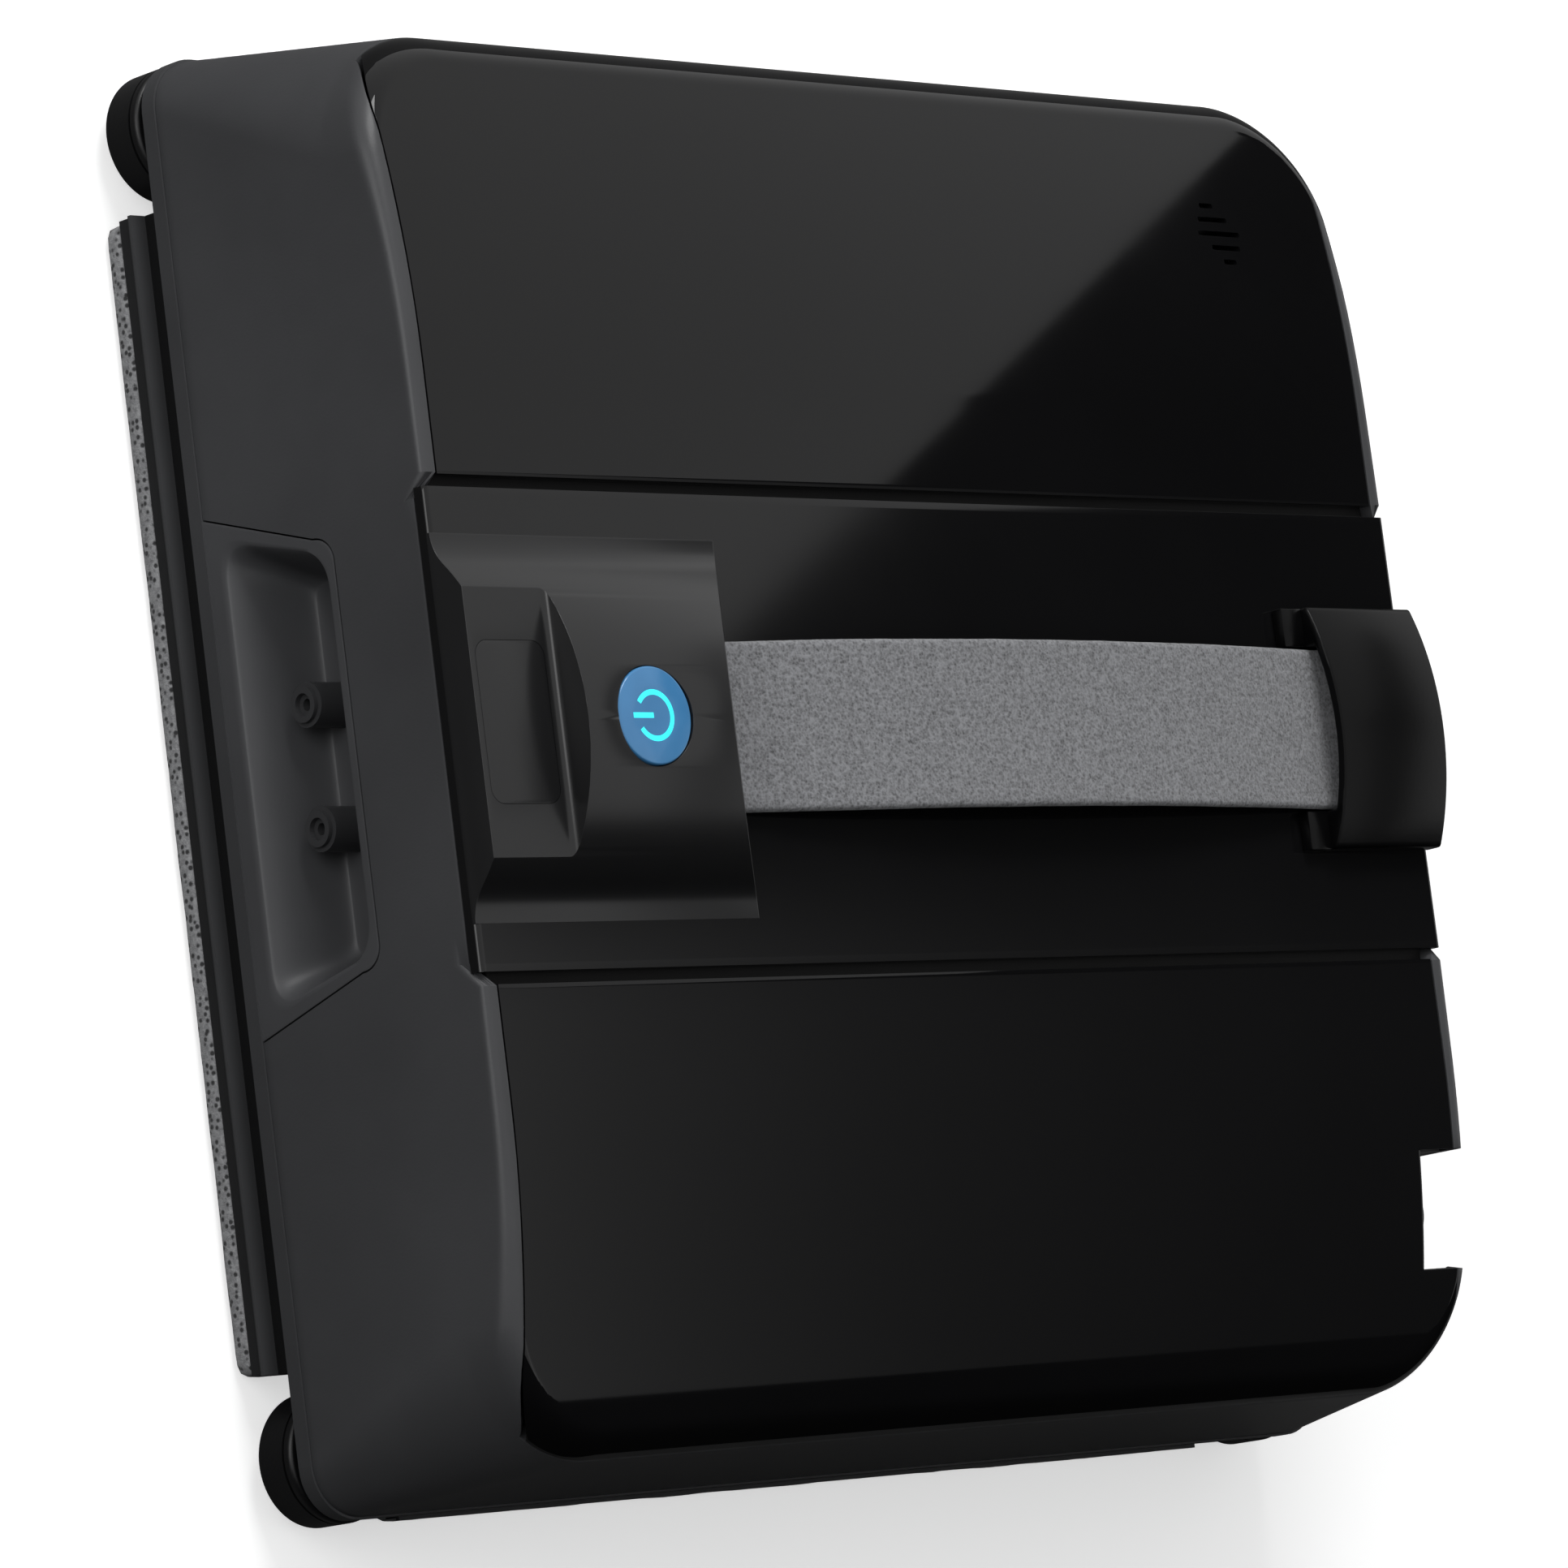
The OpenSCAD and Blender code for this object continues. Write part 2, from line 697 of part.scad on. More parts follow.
// Power button with its retaining flange and stem
button_sink = 0.3;
button_top = console_z - button_sink;
button_cap_h = 3.4;
button_flange_h = 1.4;
button_flange_w = 1.4;
button_stem_r = 3;
button_stem_z = switch_top + seat_gap + button_travel;
icon_sink = 0.3;
icon_r = 4.2;
icon_w = 0.9;
icon_gap_angle = 34;
icon_bar_l = 4.4;
module icon_plan(grow) {
    difference() {
        circle(icon_r + grow, $fn = round_fn);
        circle(icon_r - icon_w - grow, $fn = round_fn);
        polygon([[0, 0], far * [-cos(icon_gap_angle), sin(icon_gap_angle)], [-2 * far, 0],
            far * [-cos(icon_gap_angle), -sin(icon_gap_angle)]]);
    }
    translate([-icon_r - icon_w / 2 - grow, -icon_w / 2 - grow])
        square([icon_bar_l + 2 * grow, icon_w + 2 * grow]);
}
module power_button() {
    color([0.2, 0.52, 0.75]) translate([button_x, 0, 0]) difference() {
        union() {
            translate([0, 0, button_top - button_cap_h])
                cylinder(h = button_cap_h, r = button_d / 2, $fn = round_fn);
            translate([0, 0, button_top - button_cap_h - button_flange_h])
                cylinder(h = button_flange_h, r = button_d / 2 + button_flange_w, $fn = round_fn);
            translate([0, 0, button_stem_z])
                cylinder(h = button_top - button_cap_h - button_stem_z, r = button_stem_r, $fn = round_fn);
        }
        translate([0, 0, button_top - icon_sink]) linear_extrude(over) icon_plan(0);
    }
}
module button_icon() {
    color([0.25, 0.9, 0.95]) translate([button_x, 0, button_top - icon_sink])
        linear_extrude(icon_sink) icon_plan(0);
}

// Water pump on the tray floor
pump_in = 20;
pump_x0 = tank_x0 + pump_in;
pump_l = 25;
pump_r = 9;
pump_z = floor_top + fit_gap + pump_r;
pump_cap_l = 7;
pump_cap_r = 8;
pump_port_r = 1.6;
pump_port_l = 3;
pump_port_y = 5;
pump_foot_h = 3;
feed_x = pump_x0 + pump_l / 2;
module water_pump() {
    color([0.35, 0.36, 0.38]) {
        translate([pump_x0 + pump_cap_l, 0, pump_z]) rotate([0, 90, 0])
            cylinder(h = pump_l - pump_cap_l, r = pump_r, $fn = round_fn);
        translate([pump_x0, 0, pump_z]) rotate([0, 90, 0])
            cylinder(h = pump_cap_l, r = pump_cap_r, $fn = round_fn);
        both_y() translate([pump_x0 - pump_port_l, pump_port_y, pump_z]) rotate([0, 90, 0])
            cylinder(h = pump_port_l + over, r = pump_port_r, $fn = round_fn);
        translate([feed_x, 0, pump_z]) cylinder(h = pump_r + pump_port_l, r = pump_port_r, $fn = round_fn);
        block([pump_x0 + pump_cap_l, -pump_r, floor_top + fit_gap],
            [pump_x0 + pump_l, pump_r, floor_top + fit_gap + pump_foot_h]);
    }
}

// Nozzle bay in the left wall and its two spray nozzles
bay_t = 2.2;
bay_depth = 14.1;
bay_back_x = bay_depth - body_w / 2;
mouth_low_z = 17.4;
mouth_back_z = 24;
mouth_high_z = 41.3;
mouth_past = 2.4;
mouth_out_x = -body_w / 2 - mouth_past;
mouth_foot = 38.8;
mouth_head = 32.8;
nozzle_y = 10.1;
nozzle_z = 28.4;
nozzle_r = 3.7;
nozzle_out = 8.3;
nozzle_tip_x = bay_back_x - nozzle_out;
barb_r = 1.8;
barb_in = 7.5;
barb_end_x = bay_back_x + barb_in;
spray_r = 1;
module across_y() {
    translate([0, far, 0]) rotate([90, 0, 0]) linear_extrude(2 * far) children();
}
module nozzle_bay() {
    back = bay_back_x + bay_t;
    color([0.1, 0.1, 0.11]) difference() {
        intersection() {
            along_x(-far, far) intersection() {
                bay_plan(0);
                translate([-far, rim_top + fit_gap]) square([2 * far, far]);
            }
            across_y() polygon([[-half_at(rim_top), rim_top], [-half_at(bay_top), bay_top],
                [back, bay_top], [back, mouth_back_z - bay_t], [-half_at(rim_top) + shell_t, rim_top]]);
        }
        intersection() {
            along_x(-far, far) polygon([[-mouth_foot, rim_top], [mouth_foot, rim_top],
                [mouth_head, bay_top], [-mouth_head, bay_top]]);
            across_y() polygon([[mouth_out_x, mouth_low_z], [bay_back_x, mouth_back_z],
                [bay_back_x, mouth_high_z], [mouth_out_x, mouth_high_z]]);
        }
        both_y() translate([bay_back_x - over, nozzle_y, nozzle_z]) rotate([0, 90, 0])
            cylinder(h = bay_t + 2 * over, r = barb_r + fit_gap, $fn = round_fn);
    }
}
nozzle_lip = 0.8;
module spray_nozzle() {
    seat = bay_back_x - fit_gap;
    color([0.16, 0.16, 0.17]) translate([0, nozzle_y, nozzle_z]) rotate([0, 90, 0]) difference() {
        union() {
            translate([0, 0, nozzle_tip_x + nozzle_lip])
                cylinder(h = seat - nozzle_tip_x - nozzle_lip, r = nozzle_r, $fn = round_fn);
            translate([0, 0, nozzle_tip_x])
                cylinder(h = seat - nozzle_tip_x, r = nozzle_r - nozzle_lip, $fn = round_fn);
            translate([0, 0, nozzle_tip_x + over])
                cylinder(h = barb_end_x - nozzle_tip_x - over, r = barb_r, $fn = round_fn);
        }
        translate([0, 0, nozzle_tip_x - over])
            cylinder(h = barb_end_x - nozzle_tip_x + 2 * over, r = spray_r, $fn = round_fn);
        translate([0, 0, nozzle_tip_x - over])
            cylinder(h = 2 * over, r = nozzle_r / 2, $fn = round_fn);
    }
}
module spray_nozzle_upper() {
    spray_nozzle();
}
module spray_nozzle_lower() {
    mirror([0, 1, 0]) spray_nozzle();
}

// Hoses: one from each nozzle to the pump, and one from the tank to the pump
hose_r = 2.5;
hose_turn = 10.5;
hose_turn_x = bay_back_x + hose_turn;
elbow_r = 2.8;
module run(p, q, r) {
    d = q - p;
    l = norm(d);
    translate(p) rotate([0, acos(d[2] / l), atan2(d[1], d[0])]) cylinder(h = l, r = r, $fn = round_fn);
}
module spray_hoses() {
    points = [[barb_end_x - hose_r, nozzle_y, nozzle_z], [hose_turn_x, nozzle_y, nozzle_z],
        [hose_turn_x, pump_port_y, pump_z], [pump_x0 - seat_gap, pump_port_y, pump_z]];
    color([0.7, 0.72, 0.75]) {
        both_y() difference() {
            union() {
                for (i = [1 : len(points) - 1]) run(points[i - 1], points[i], hose_r);
                for (p = [points[1], points[2]]) translate(p) sphere(elbow_r, $fn = round_fn);
            }
            run([barb_end_x - 2 * hose_r, nozzle_y, nozzle_z], [barb_end_x + over, nozzle_y, nozzle_z],
                barb_r + fit_gap);
            run([pump_x0 - pump_port_l - fit_gap, pump_port_y, pump_z], [pump_x0, pump_port_y, pump_z],
                pump_port_r + fit_gap);
        }
        difference() {
            run([feed_x, 0, pump_z + pump_r + seat_gap], [feed_x, 0, tank_z0 - seat_gap], hose_r);
            run([feed_x, 0, pump_z], [feed_x, 0, pump_z + pump_r + pump_port_l + fit_gap],
                pump_port_r + fit_gap);
            run([feed_x, 0, tank_z0 - pump_port_l - fit_gap], [feed_x, 0, tank_z0],
                pump_port_r + fit_gap);
        }
    }
}

// Pocket behind the cable notch, and the power inlet in its wall
inlet_z = 54;
inlet_r = 5;
inlet_flange_r = 6.5;
inlet_flange_t = 1.6;
inlet_back = 10;
inlet_socket_r = 2.8;
inlet_pin_r = 0.9;
inlet_y = (notch_y0 + notch_y1) / 2;
module cable_pocket() {
    color([0.1, 0.1, 0.11]) difference() {
        intersection() {
            block([notch_x - pocket_t, notch_y0 - pocket_t, notch_z - pocket_t],
                [far, notch_y1 + pocket_t, far]);
            body_form(shell_t + seat_gap);
        }
        notch_box(0);
        translate([notch_x - 2 * pocket_t, inlet_y, inlet_z]) rotate([0, 90, 0])
            cylinder(h = 3 * pocket_t, r = inlet_r + fit_gap, $fn = round_fn);
    }
}
module power_inlet() {
    color([0.2, 0.2, 0.21]) translate([notch_x, inlet_y, inlet_z]) rotate([0, 90, 0]) difference() {
        union() {
            translate([0, 0, -inlet_back])
                cylinder(h = inlet_back + inlet_flange_t, r = inlet_r, $fn = round_fn);
            translate([0, 0, fit_gap])
                cylinder(h = inlet_flange_t, r = inlet_flange_r, $fn = round_fn);
        }
        difference() {
            translate([0, 0, -inlet_back / 2])
                cylinder(h = inlet_back, r = inlet_socket_r, $fn = round_fn);
            translate([0, 0, -inlet_back / 2])
                cylinder(h = inlet_back / 2, r = inlet_pin_r, $fn = round_fn);
        }
    }
}

// Loudspeaker under the slots
speaker_cone_r = 11;
speaker_cone_d = 1.5;
speaker_magnet_r = 7;
speaker_frame_h = 3;
module speaker() {
    color([0.25, 0.25, 0.27])
        translate([speaker_x, speaker_y, speaker_top - seat_gap]) difference() {
            union() {
                translate([0, 0, -speaker_frame_h])
                    cylinder(h = speaker_frame_h, r = speaker_r, $fn = round_fn);
                translate([0, 0, -speaker_h])
                    cylinder(h = speaker_h, r = speaker_magnet_r, $fn = round_fn);
            }
            translate([0, 0, -speaker_cone_d])
                cylinder(h = 2 * speaker_cone_d, r1 = speaker_magnet_r / 2,
                    r2 = 2 * speaker_cone_r - speaker_magnet_r / 2, $fn = round_fn);
        }
}

// Main board on four stand-offs, with its larger components
board_x = 60;
board_gap = 5.35;
board_in = 11.6;
board_y0 = frame_out + frame_t + board_gap;
board_y1 = body_w / 2 - board_in;
board_z = 18;
standoff_r = 3;
standoff_in = 5;
chip_w = 14;
chip_h = 1.6;
cap_can_r = 5;
cap_can_h = 12;
cap_can_pitch = 14;
plug_block = [16, 6, 8];
module main_board() {
    color([0.08, 0.3, 0.16]) {
        block([-board_x, board_y0, board_z], [board_x, board_y1, board_z + board_t]);
        for (sx = [-1, 1], y = [board_y0 + standoff_in, board_y1 - standoff_in])
            translate([sx * (board_x - standoff_in), y, floor_top + fit_gap])
                cylinder(h = board_z - floor_top, r = standoff_r, $fn = round_fn);
        translate([-chip_w / 2, (board_y0 + board_y1) / 2 - chip_w / 2, board_z])
            cube([chip_w, chip_w, board_t + chip_h]);
        for (i = [-1, 1]) translate([i * 2 * cap_can_pitch, (board_y0 + board_y1) / 2, board_z])
            cylinder(h = board_t + cap_can_h, r = cap_can_r, $fn = round_fn);
        for (i = [-1, 1])
            translate([i * cap_can_pitch - plug_block[0] / 2, board_y0 + over, board_z]) cube(plug_block);
    }
}

// Frame that carries the battery over the drive, on four legs
deck_x0 = 36;
deck_in = 11.6;
deck_side = 9;
deck_x1 = body_w / 2 - deck_in;
deck_half = leg_y + deck_side;
deck_z = 42;
deck_t = 2;
leg_bore_h = 10;
leg_far_in = 5;
leg_far_x = deck_x1 - leg_far_in;
leg_far_y = deck_half - leg_far_in;
deck_slot = [10, 50];
battery_in = 34;
battery_x = deck_x1 - battery_in;
deck_slot_off = [-29, 17];
module mid_frame() {
    color([0.22, 0.23, 0.25]) difference() {
        union() {
            block([deck_x0, -deck_half, deck_z], [deck_x1, deck_half, deck_z + deck_t]);
            for (sy = [-1, 1], at = [[leg_x, leg_y], [leg_far_x, leg_far_y]])
                translate([at[0], sy * at[1], floor_top + fit_gap])
                    cylinder(h = deck_z - floor_top, r = leg_r, $fn = round_fn);
        }
        for (sy = [-1, 1]) translate([leg_x, sy * leg_y, floor_top - over])
            cylinder(h = leg_bore_h + over, r = screw_r + fit_gap, $fn = round_fn);
        for (x = deck_slot_off) translate([battery_x + x, -deck_slot[1] / 2, deck_z - over])
            cube([deck_slot[0], deck_slot[1], deck_t + 2 * over]);
    }
}
battery_w = 60;
battery_d = 66;
battery_h = 13;
battery_r = 3;
battery_lead_h = 3;
module battery_pack() {
    base = deck_z + deck_t + seat_gap;
    color([0.15, 0.35, 0.6]) translate([battery_x, 0, 0]) {
        slab(battery_w, battery_d, battery_r, base, base + battery_h);
        block([-battery_w / 2 - battery_lead_h, -battery_d / 4, base],
            [0, battery_d / 4, base + battery_h / 2]);
    }
}

// Fan: seal, scroll housing, cover, impeller and motor
seal_h = 1;
seal_r0 = 23;
seal_r1 = 26;
fan_z = floor_top + seal_h;
scroll_t = 1.8;
scroll_gap = 2.5;
scroll_r0 = impeller_r + scroll_gap;
scroll_grow = 6.5;
tongue_angle = 40;
scroll_step = 10;
fan_in_h = 16;
fan_top = fan_z + scroll_t + fan_in_h;
fan_eye_r = 18;
cover_t = 2;
duct_y0 = 23;
duct_x0 = 38;
scroll_turn = 310;
function scroll_at(a) = scroll_r0 + scroll_grow * (tongue_angle - a) / scroll_turn;
duct_y1 = scroll_at(tongue_angle - scroll_turn);
module scroll_plan(grow) {
    low = duct_y0 - grow;
    end = duct_x0 + grow - scroll_t;
    polygon(concat([[end, duct_y1 + grow], [end, low], [sqrt(pow(scroll_r0 + grow, 2) - pow(low, 2)), low]],
        [for (a = [tongue_angle : -scroll_step : tongue_angle - scroll_turn])
            (scroll_at(a) + grow) * [cos(a), sin(a)]]));
}
module intake_seal() {
    color([0.3, 0.3, 0.31]) translate([0, 0, floor_top + fit_gap]) difference() {
        cylinder(h = seal_h - 2 * fit_gap, r = seal_r1, $fn = round_fn);
        translate([0, 0, -over]) cylinder(h = seal_h + 2 * over, r = seal_r0, $fn = round_fn);
    }
}
module fan_housing() {
    color([0.18, 0.19, 0.2]) difference() {
        translate([0, 0, fan_z]) linear_extrude(fan_top - fan_z) scroll_plan(scroll_t);
        translate([0, 0, fan_z + scroll_t]) linear_extrude(far) scroll_plan(0);
        translate([0, 0, fan_z - over]) cylinder(h = scroll_t + 2 * over, r = fan_eye_r, $fn = round_fn);
        along_x(duct_x0 - 2 * scroll_t, duct_x0 + over) duct_section(0);
    }
}
cover_boss_h = 3;
module fan_cover() {
    color([0.2, 0.21, 0.22]) difference() {
        union() {
            translate([0, 0, fan_top + fit_gap]) linear_extrude(cover_t) scroll_plan(scroll_t);
            translate([0, 0, fan_top + fit_gap])
                cylinder(h = cover_t + cover_boss_h, r = fan_motor_r + scroll_t + part_gap, $fn = round_fn);
        }
        translate([0, 0, fan_top + cover_t])
            cylinder(h = far, r = fan_motor_r + seat_gap, $fn = round_fn);
        translate([0, 0, fan_top - over]) cylinder(h = far, r = fan_shaft_hole_r, $fn = round_fn);
    }
}
fan_shaft_r = 2;
fan_shaft_hole_r = 6;
hub_r = 6;
hub_top_gap = 0.6;
eye_gap = 2.2;
blade_z0 = fan_z + scroll_t + eye_gap;
blade_t = 1.2;
blade_in_r = 12;
blade_bend_r = 26;
shroud_t = 1.2;
back_t = 1.5;
blade_z1 = blade_z0 + blade_h;
shaft_in = 12;
shaft_top = fan_top + cover_t + shaft_in;
motor_base = fan_top + cover_t + 2 * fit_gap;
module blade_plan() {
    for (i = [0 : blade_count - 1]) rotate([0, 0, i * 360 / blade_count]) intersection() {
        difference() {
            circle(impeller_r - blade_t / 2, $fn = 2 * round_fn);
            circle(blade_in_r, $fn = round_fn);
        }
        translate([blade_in_r, -blade_bend_r]) difference() {
            circle(blade_bend_r + blade_t / 2, $fn = 2 * round_fn);
            circle(blade_bend_r - blade_t / 2, $fn = 2 * round_fn);
            translate([-2 * far, -far]) square([2 * far, 2 * far]);
        }
    }
}
module impeller() {
    color([0.85, 0.86, 0.88]) {
        translate([0, 0, blade_z0 - fit_gap]) linear_extrude(blade_h + 2 * fit_gap) blade_plan();
        translate([0, 0, blade_z1]) cylinder(h = back_t, r = impeller_r, $fn = 2 * round_fn);
        translate([0, 0, blade_z0 - shroud_t]) difference() {
            cylinder(h = shroud_t, r = impeller_r, $fn = 2 * round_fn);
            translate([0, 0, -over]) cylinder(h = shroud_t + 2 * over, r = fan_eye_r - over, $fn = round_fn);
        }
        translate([0, 0, blade_z0])
            cylinder(h = fan_top - hub_top_gap - blade_z0, r = hub_r, $fn = round_fn);
        translate([0, 0, blade_z0]) cylinder(h = shaft_top - blade_z0, r = fan_shaft_r, $fn = round_fn);
    }
}
fan_motor_h = 19;
fan_motor_cap_h = 3;
fan_motor_cap_r = 9;
vent_count = 8;
vent_w = 3;
vent_h = 8;
vent_t = 1.5;
module fan_motor() {
    color([0.55, 0.56, 0.58]) difference() {
        union() {
            translate([0, 0, motor_base]) cylinder(h = fan_motor_h, r = fan_motor_r, $fn = round_fn);
            translate([0, 0, motor_base])
                cylinder(h = fan_motor_h + fan_motor_cap_h, r = fan_motor_cap_r, $fn = round_fn);
        }
        translate([0, 0, motor_base - over])
            cylinder(h = shaft_top - motor_base + 2 * over, r = fan_shaft_r + fit_gap, $fn = round_fn);
        for (i = [0 : vent_count - 1]) rotate([0, 0, i * 360 / vent_count])
            translate([fan_motor_r - vent_t, -vent_w / 2, motor_base + fan_motor_h - vent_h - vent_w])
                cube([2 * vent_t, vent_w, vent_h]);
    }
}

// Duct from the scroll to the right wall, and its grille
duct_t = 1.5;
duct_end_gap = 0.3;
duct_z0 = rim_top + duct_t + 2 * seat_gap;
duct_z1 = fan_top - over;
grille_frame = 1.5;
grille_rows = 6;
grille_bar_share = 0.45;
module duct_section(grow) {
    translate([duct_y0 - grow, duct_z0 - grow])
        square([duct_y1 - duct_y0 + 2 * grow, duct_z1 - duct_z0 + 2 * grow]);
}
module exhaust_duct() {
    wall_x = half_at(duct_z1 + duct_t) - shell_t - duct_end_gap;
    color([0.2, 0.21, 0.22]) difference() {
        along_x(duct_x0 + seat_gap, wall_x) duct_section(duct_t);
        along_x(duct_x0 - over, wall_x + over) duct_section(0);
    }
}
module grille_window(grow) {
    along_x(half_at(face_z) - 2 * shell_t, far) duct_section(grille_frame + grow);
}
module exhaust_grille() {
    pitch = (duct_z1 - duct_z0) / grille_rows;
    color([0.09, 0.09, 0.095]) difference() {
        intersection() {
            body_form(0);
            grille_window(0);
        }
        body_form(shell_t);
        for (i = [0 : grille_rows - 1])
            block([0, duct_y0, duct_z0 + (i + grille_bar_share / 2) * pitch],
                [far, duct_y1, duct_z0 + (i + 1 - grille_bar_share / 2) * pitch]);
    }
}

// Crawler belt: ribs on the outside, smooth inside
belt_lift = 0.3;
belt_z = belt_r + belt_lift;
tread_h = 1;
belt_t = 2.6;
rib_count = 60;
rib_share = 0.45;
rib_slope_share = 0.1;
// A point at distance r from the line between the wheel axes, a share s of the way round
function loop_point(s, r) = let (arc = PI * belt_r, length = 2 * (wheel_gap + arc), d = s * length)
    d < wheel_gap ? [d - wheel_gap / 2, -r]
    : d < wheel_gap + arc ? let (a = (d - wheel_gap) / belt_r * 180 / PI - 90)
        [wheel_gap / 2 + r * cos(a), r * sin(a)]
    : d < 2 * wheel_gap + arc ? [wheel_gap / 2 - (d - wheel_gap - arc), r]
    : let (a = (d - 2 * wheel_gap - arc) / belt_r * 180 / PI + 90)
        [-wheel_gap / 2 + r * cos(a), r * sin(a)];
module belt_loop(r) {
    square([wheel_gap, 2 * r], center = true);
    for (s = [-1, 1]) translate([s * wheel_gap / 2, 0]) circle(r, $fn = round_fn);
}
module drive_belt() {
    low = belt_r - tread_h;
    ribs = [for (i = [0 : rib_count - 1], k = [0 : 3]) let (
        share = [0, rib_slope_share, rib_share - rib_slope_share, rib_share][k],
        r = k == 1 || k == 2 ? belt_r : low)
        loop_point((i + 0.5 + share) % rib_count / rib_count, r)];
    color([0.07, 0.07, 0.075]) translate([0, track_y + belt_w / 2, belt_z]) rotate([90, 0, 0])
        linear_extrude(belt_w) difference() {
            polygon(ribs);
            belt_loop(belt_r - belt_t);
        }
}
module drive_belt_upper() {
    drive_belt();
}
module drive_belt_lower() {
    rotate([0, 0, 180]) drive_belt();
}

// Belt wheels: a rim on a spoked web, turning on a fixed axle
axle_r = 2;
wheel_in = 0.5;
wheel_r = belt_r - belt_t - part_gap;
wheel_rim_t = 1.8;
wheel_hub_r = 4.6;
web_w = 5;
web_hole_r = 1.6;
web_holes = 6;
module belt_wheel(hub_reach) {
    half = belt_w / 2 - wheel_in;
    rotate([90, 0, 0]) difference() {
        union() {
            translate([0, 0, -half]) difference() {
                cylinder(h = 2 * half, r = wheel_r, $fn = round_fn);
                translate([0, 0, -over])
                    cylinder(h = half - web_w / 2 + over, r = wheel_r - wheel_rim_t, $fn = round_fn);
                translate([0, 0, half + web_w / 2])
                    cylinder(h = half, r = wheel_r - wheel_rim_t, $fn = round_fn);
            }
            translate([0, 0, -half]) cylinder(h = 2 * half + hub_reach, r = wheel_hub_r, $fn = round_fn);
        }
        translate([0, 0, -far / 2]) cylinder(h = far, r = axle_r + fit_gap, $fn = round_fn);
        for (i = [0 : web_holes - 1]) rotate([0, 0, i * 360 / web_holes])
            translate([(wheel_hub_r + wheel_r - wheel_rim_t) / 2, 0, -web_w])
                cylinder(h = 2 * web_w, r = web_hole_r, $fn = round_fn);
    }
}
module at_drive() {
    translate([-wheel_gap / 2, track_y, belt_z]) children();
}
module at_idler() {
    translate([wheel_gap / 2, track_y, belt_z]) children();
}
module drive_wheel() {
    color([0.75, 0.76, 0.78]) at_drive() belt_wheel(gear_off + wheel_in - fit_gap);
}
module drive_wheel_upper() {
    drive_wheel();
}
module drive_wheel_lower() {
    rotate([0, 0, 180]) drive_wheel();
}
module idler_wheel_upper() {
    color([0.75, 0.76, 0.78]) at_idler() belt_wheel(0);
}
module idler_wheel_lower() {
    rotate([0, 0, 180]) idler_wheel_upper();
}

// Involute gears
pressure_angle = 20;
gear_backlash = 0.12;
root_share = 1.2;
flank_steps = 4;
centre_slack = 0.1;
function roll_angle(r, base) = r <= base ? 0 : sqrt(pow(r / base, 2) - 1) * 180 / PI - acos(base / r);
module gear_plan(teeth) {
    pitch = teeth * gear_module / 2;
    base = pitch * cos(pressure_angle);
    tip = pitch + gear_module;
    root = pitch - root_share * gear_module;
    start = max(base, root);
    half = 90 / teeth - gear_backlash / pitch * 90 / PI + roll_angle(pitch, base);
    flank = [for (i = [0 : flank_steps]) let (r = start + (tip - start) * i / flank_steps)
        [r, half - roll_angle(r, base)]];
    side = concat([[root, half]], flank);
    polygon([for (t = [0 : teeth - 1]) each concat(
        [for (p = side) p[0] * [cos(t * 360 / teeth - p[1]), sin(t * 360 / teeth - p[1])]],
        [for (i = [len(side) - 1 : -1 : 0]) side[i][0]
            * [cos(t * 360 / teeth + side[i][1]), sin(t * 360 / teeth + side[i][1])]])]);
}
gear_centre = (gear_teeth + pinion_teeth) * gear_module / 2 + centre_slack;
gear_relief = 1;
gear_rim_share = 0.78;
module drive_gear() {
    color([0.9, 0.88, 0.82]) translate([-wheel_gap / 2, gear_y1, belt_z]) rotate([90, 0, 0]) difference() {
        rotate([0, 0, 90]) linear_extrude(gear_t) gear_plan(gear_teeth);
        translate([0, 0, -over]) cylinder(h = gear_t + 2 * over, r = axle_r + fit_gap, $fn = round_fn);
        translate([0, 0, gear_t - gear_relief]) difference() {
            cylinder(h = gear_t, r = gear_rim_share * gear_teeth * gear_module / 2, $fn = round_fn);
            translate([0, 0, -over]) cylinder(h = gear_t + 2 * over, r = wheel_hub_r, $fn = round_fn);
        }
    }
}
module drive_gear_upper() {
    drive_gear();
}
module drive_gear_lower() {
    rotate([0, 0, 180]) drive_gear();
}
motor_shaft_r = 1.5;
motor_shaft_in = 12;
motor_z = belt_z + gear_centre;
module motor_pinion() {
    color([0.8, 0.68, 0.4]) translate([-wheel_gap / 2, gear_y1, motor_z]) rotate([90, 0, 0]) {
        rotate([0, 0, 90 + 180 / pinion_teeth]) linear_extrude(gear_t) gear_plan(pinion_teeth);
        cylinder(h = gear_y1 - motor_y1 + motor_shaft_in, r = motor_shaft_r, $fn = round_fn);
    }
}
module motor_pinion_upper() {
    motor_pinion();
}
module motor_pinion_lower() {
    rotate([0, 0, 180]) motor_pinion();
}

// Gear motor behind the inner side plate
motor_y1 = frame_in - frame_t - fit_gap;
gearbox_r = 10;
gearbox_l = 9;
motor_can_r = 9;
motor_can_l = 18;
motor_end_r = 3;
motor_end_l = 1.5;
module gear_motor() {
    color([0.6, 0.61, 0.63]) translate([-wheel_gap / 2, motor_y1, motor_z]) rotate([90, 0, 0]) difference() {
        union() {
            cylinder(h = gearbox_l, r = gearbox_r, $fn = round_fn);
            cylinder(h = gearbox_l + motor_can_l, r = motor_can_r, $fn = round_fn);
            cylinder(h = gearbox_l + motor_can_l + motor_end_l, r = motor_end_r, $fn = round_fn);
        }
        translate([0, 0, -over])
            cylinder(h = motor_shaft_in + 2 * over, r = motor_shaft_r + fit_gap, $fn = round_fn);
    }
}
module gear_motor_upper() {
    gear_motor();
}
module gear_motor_lower() {
    rotate([0, 0, 180]) gear_motor();
}

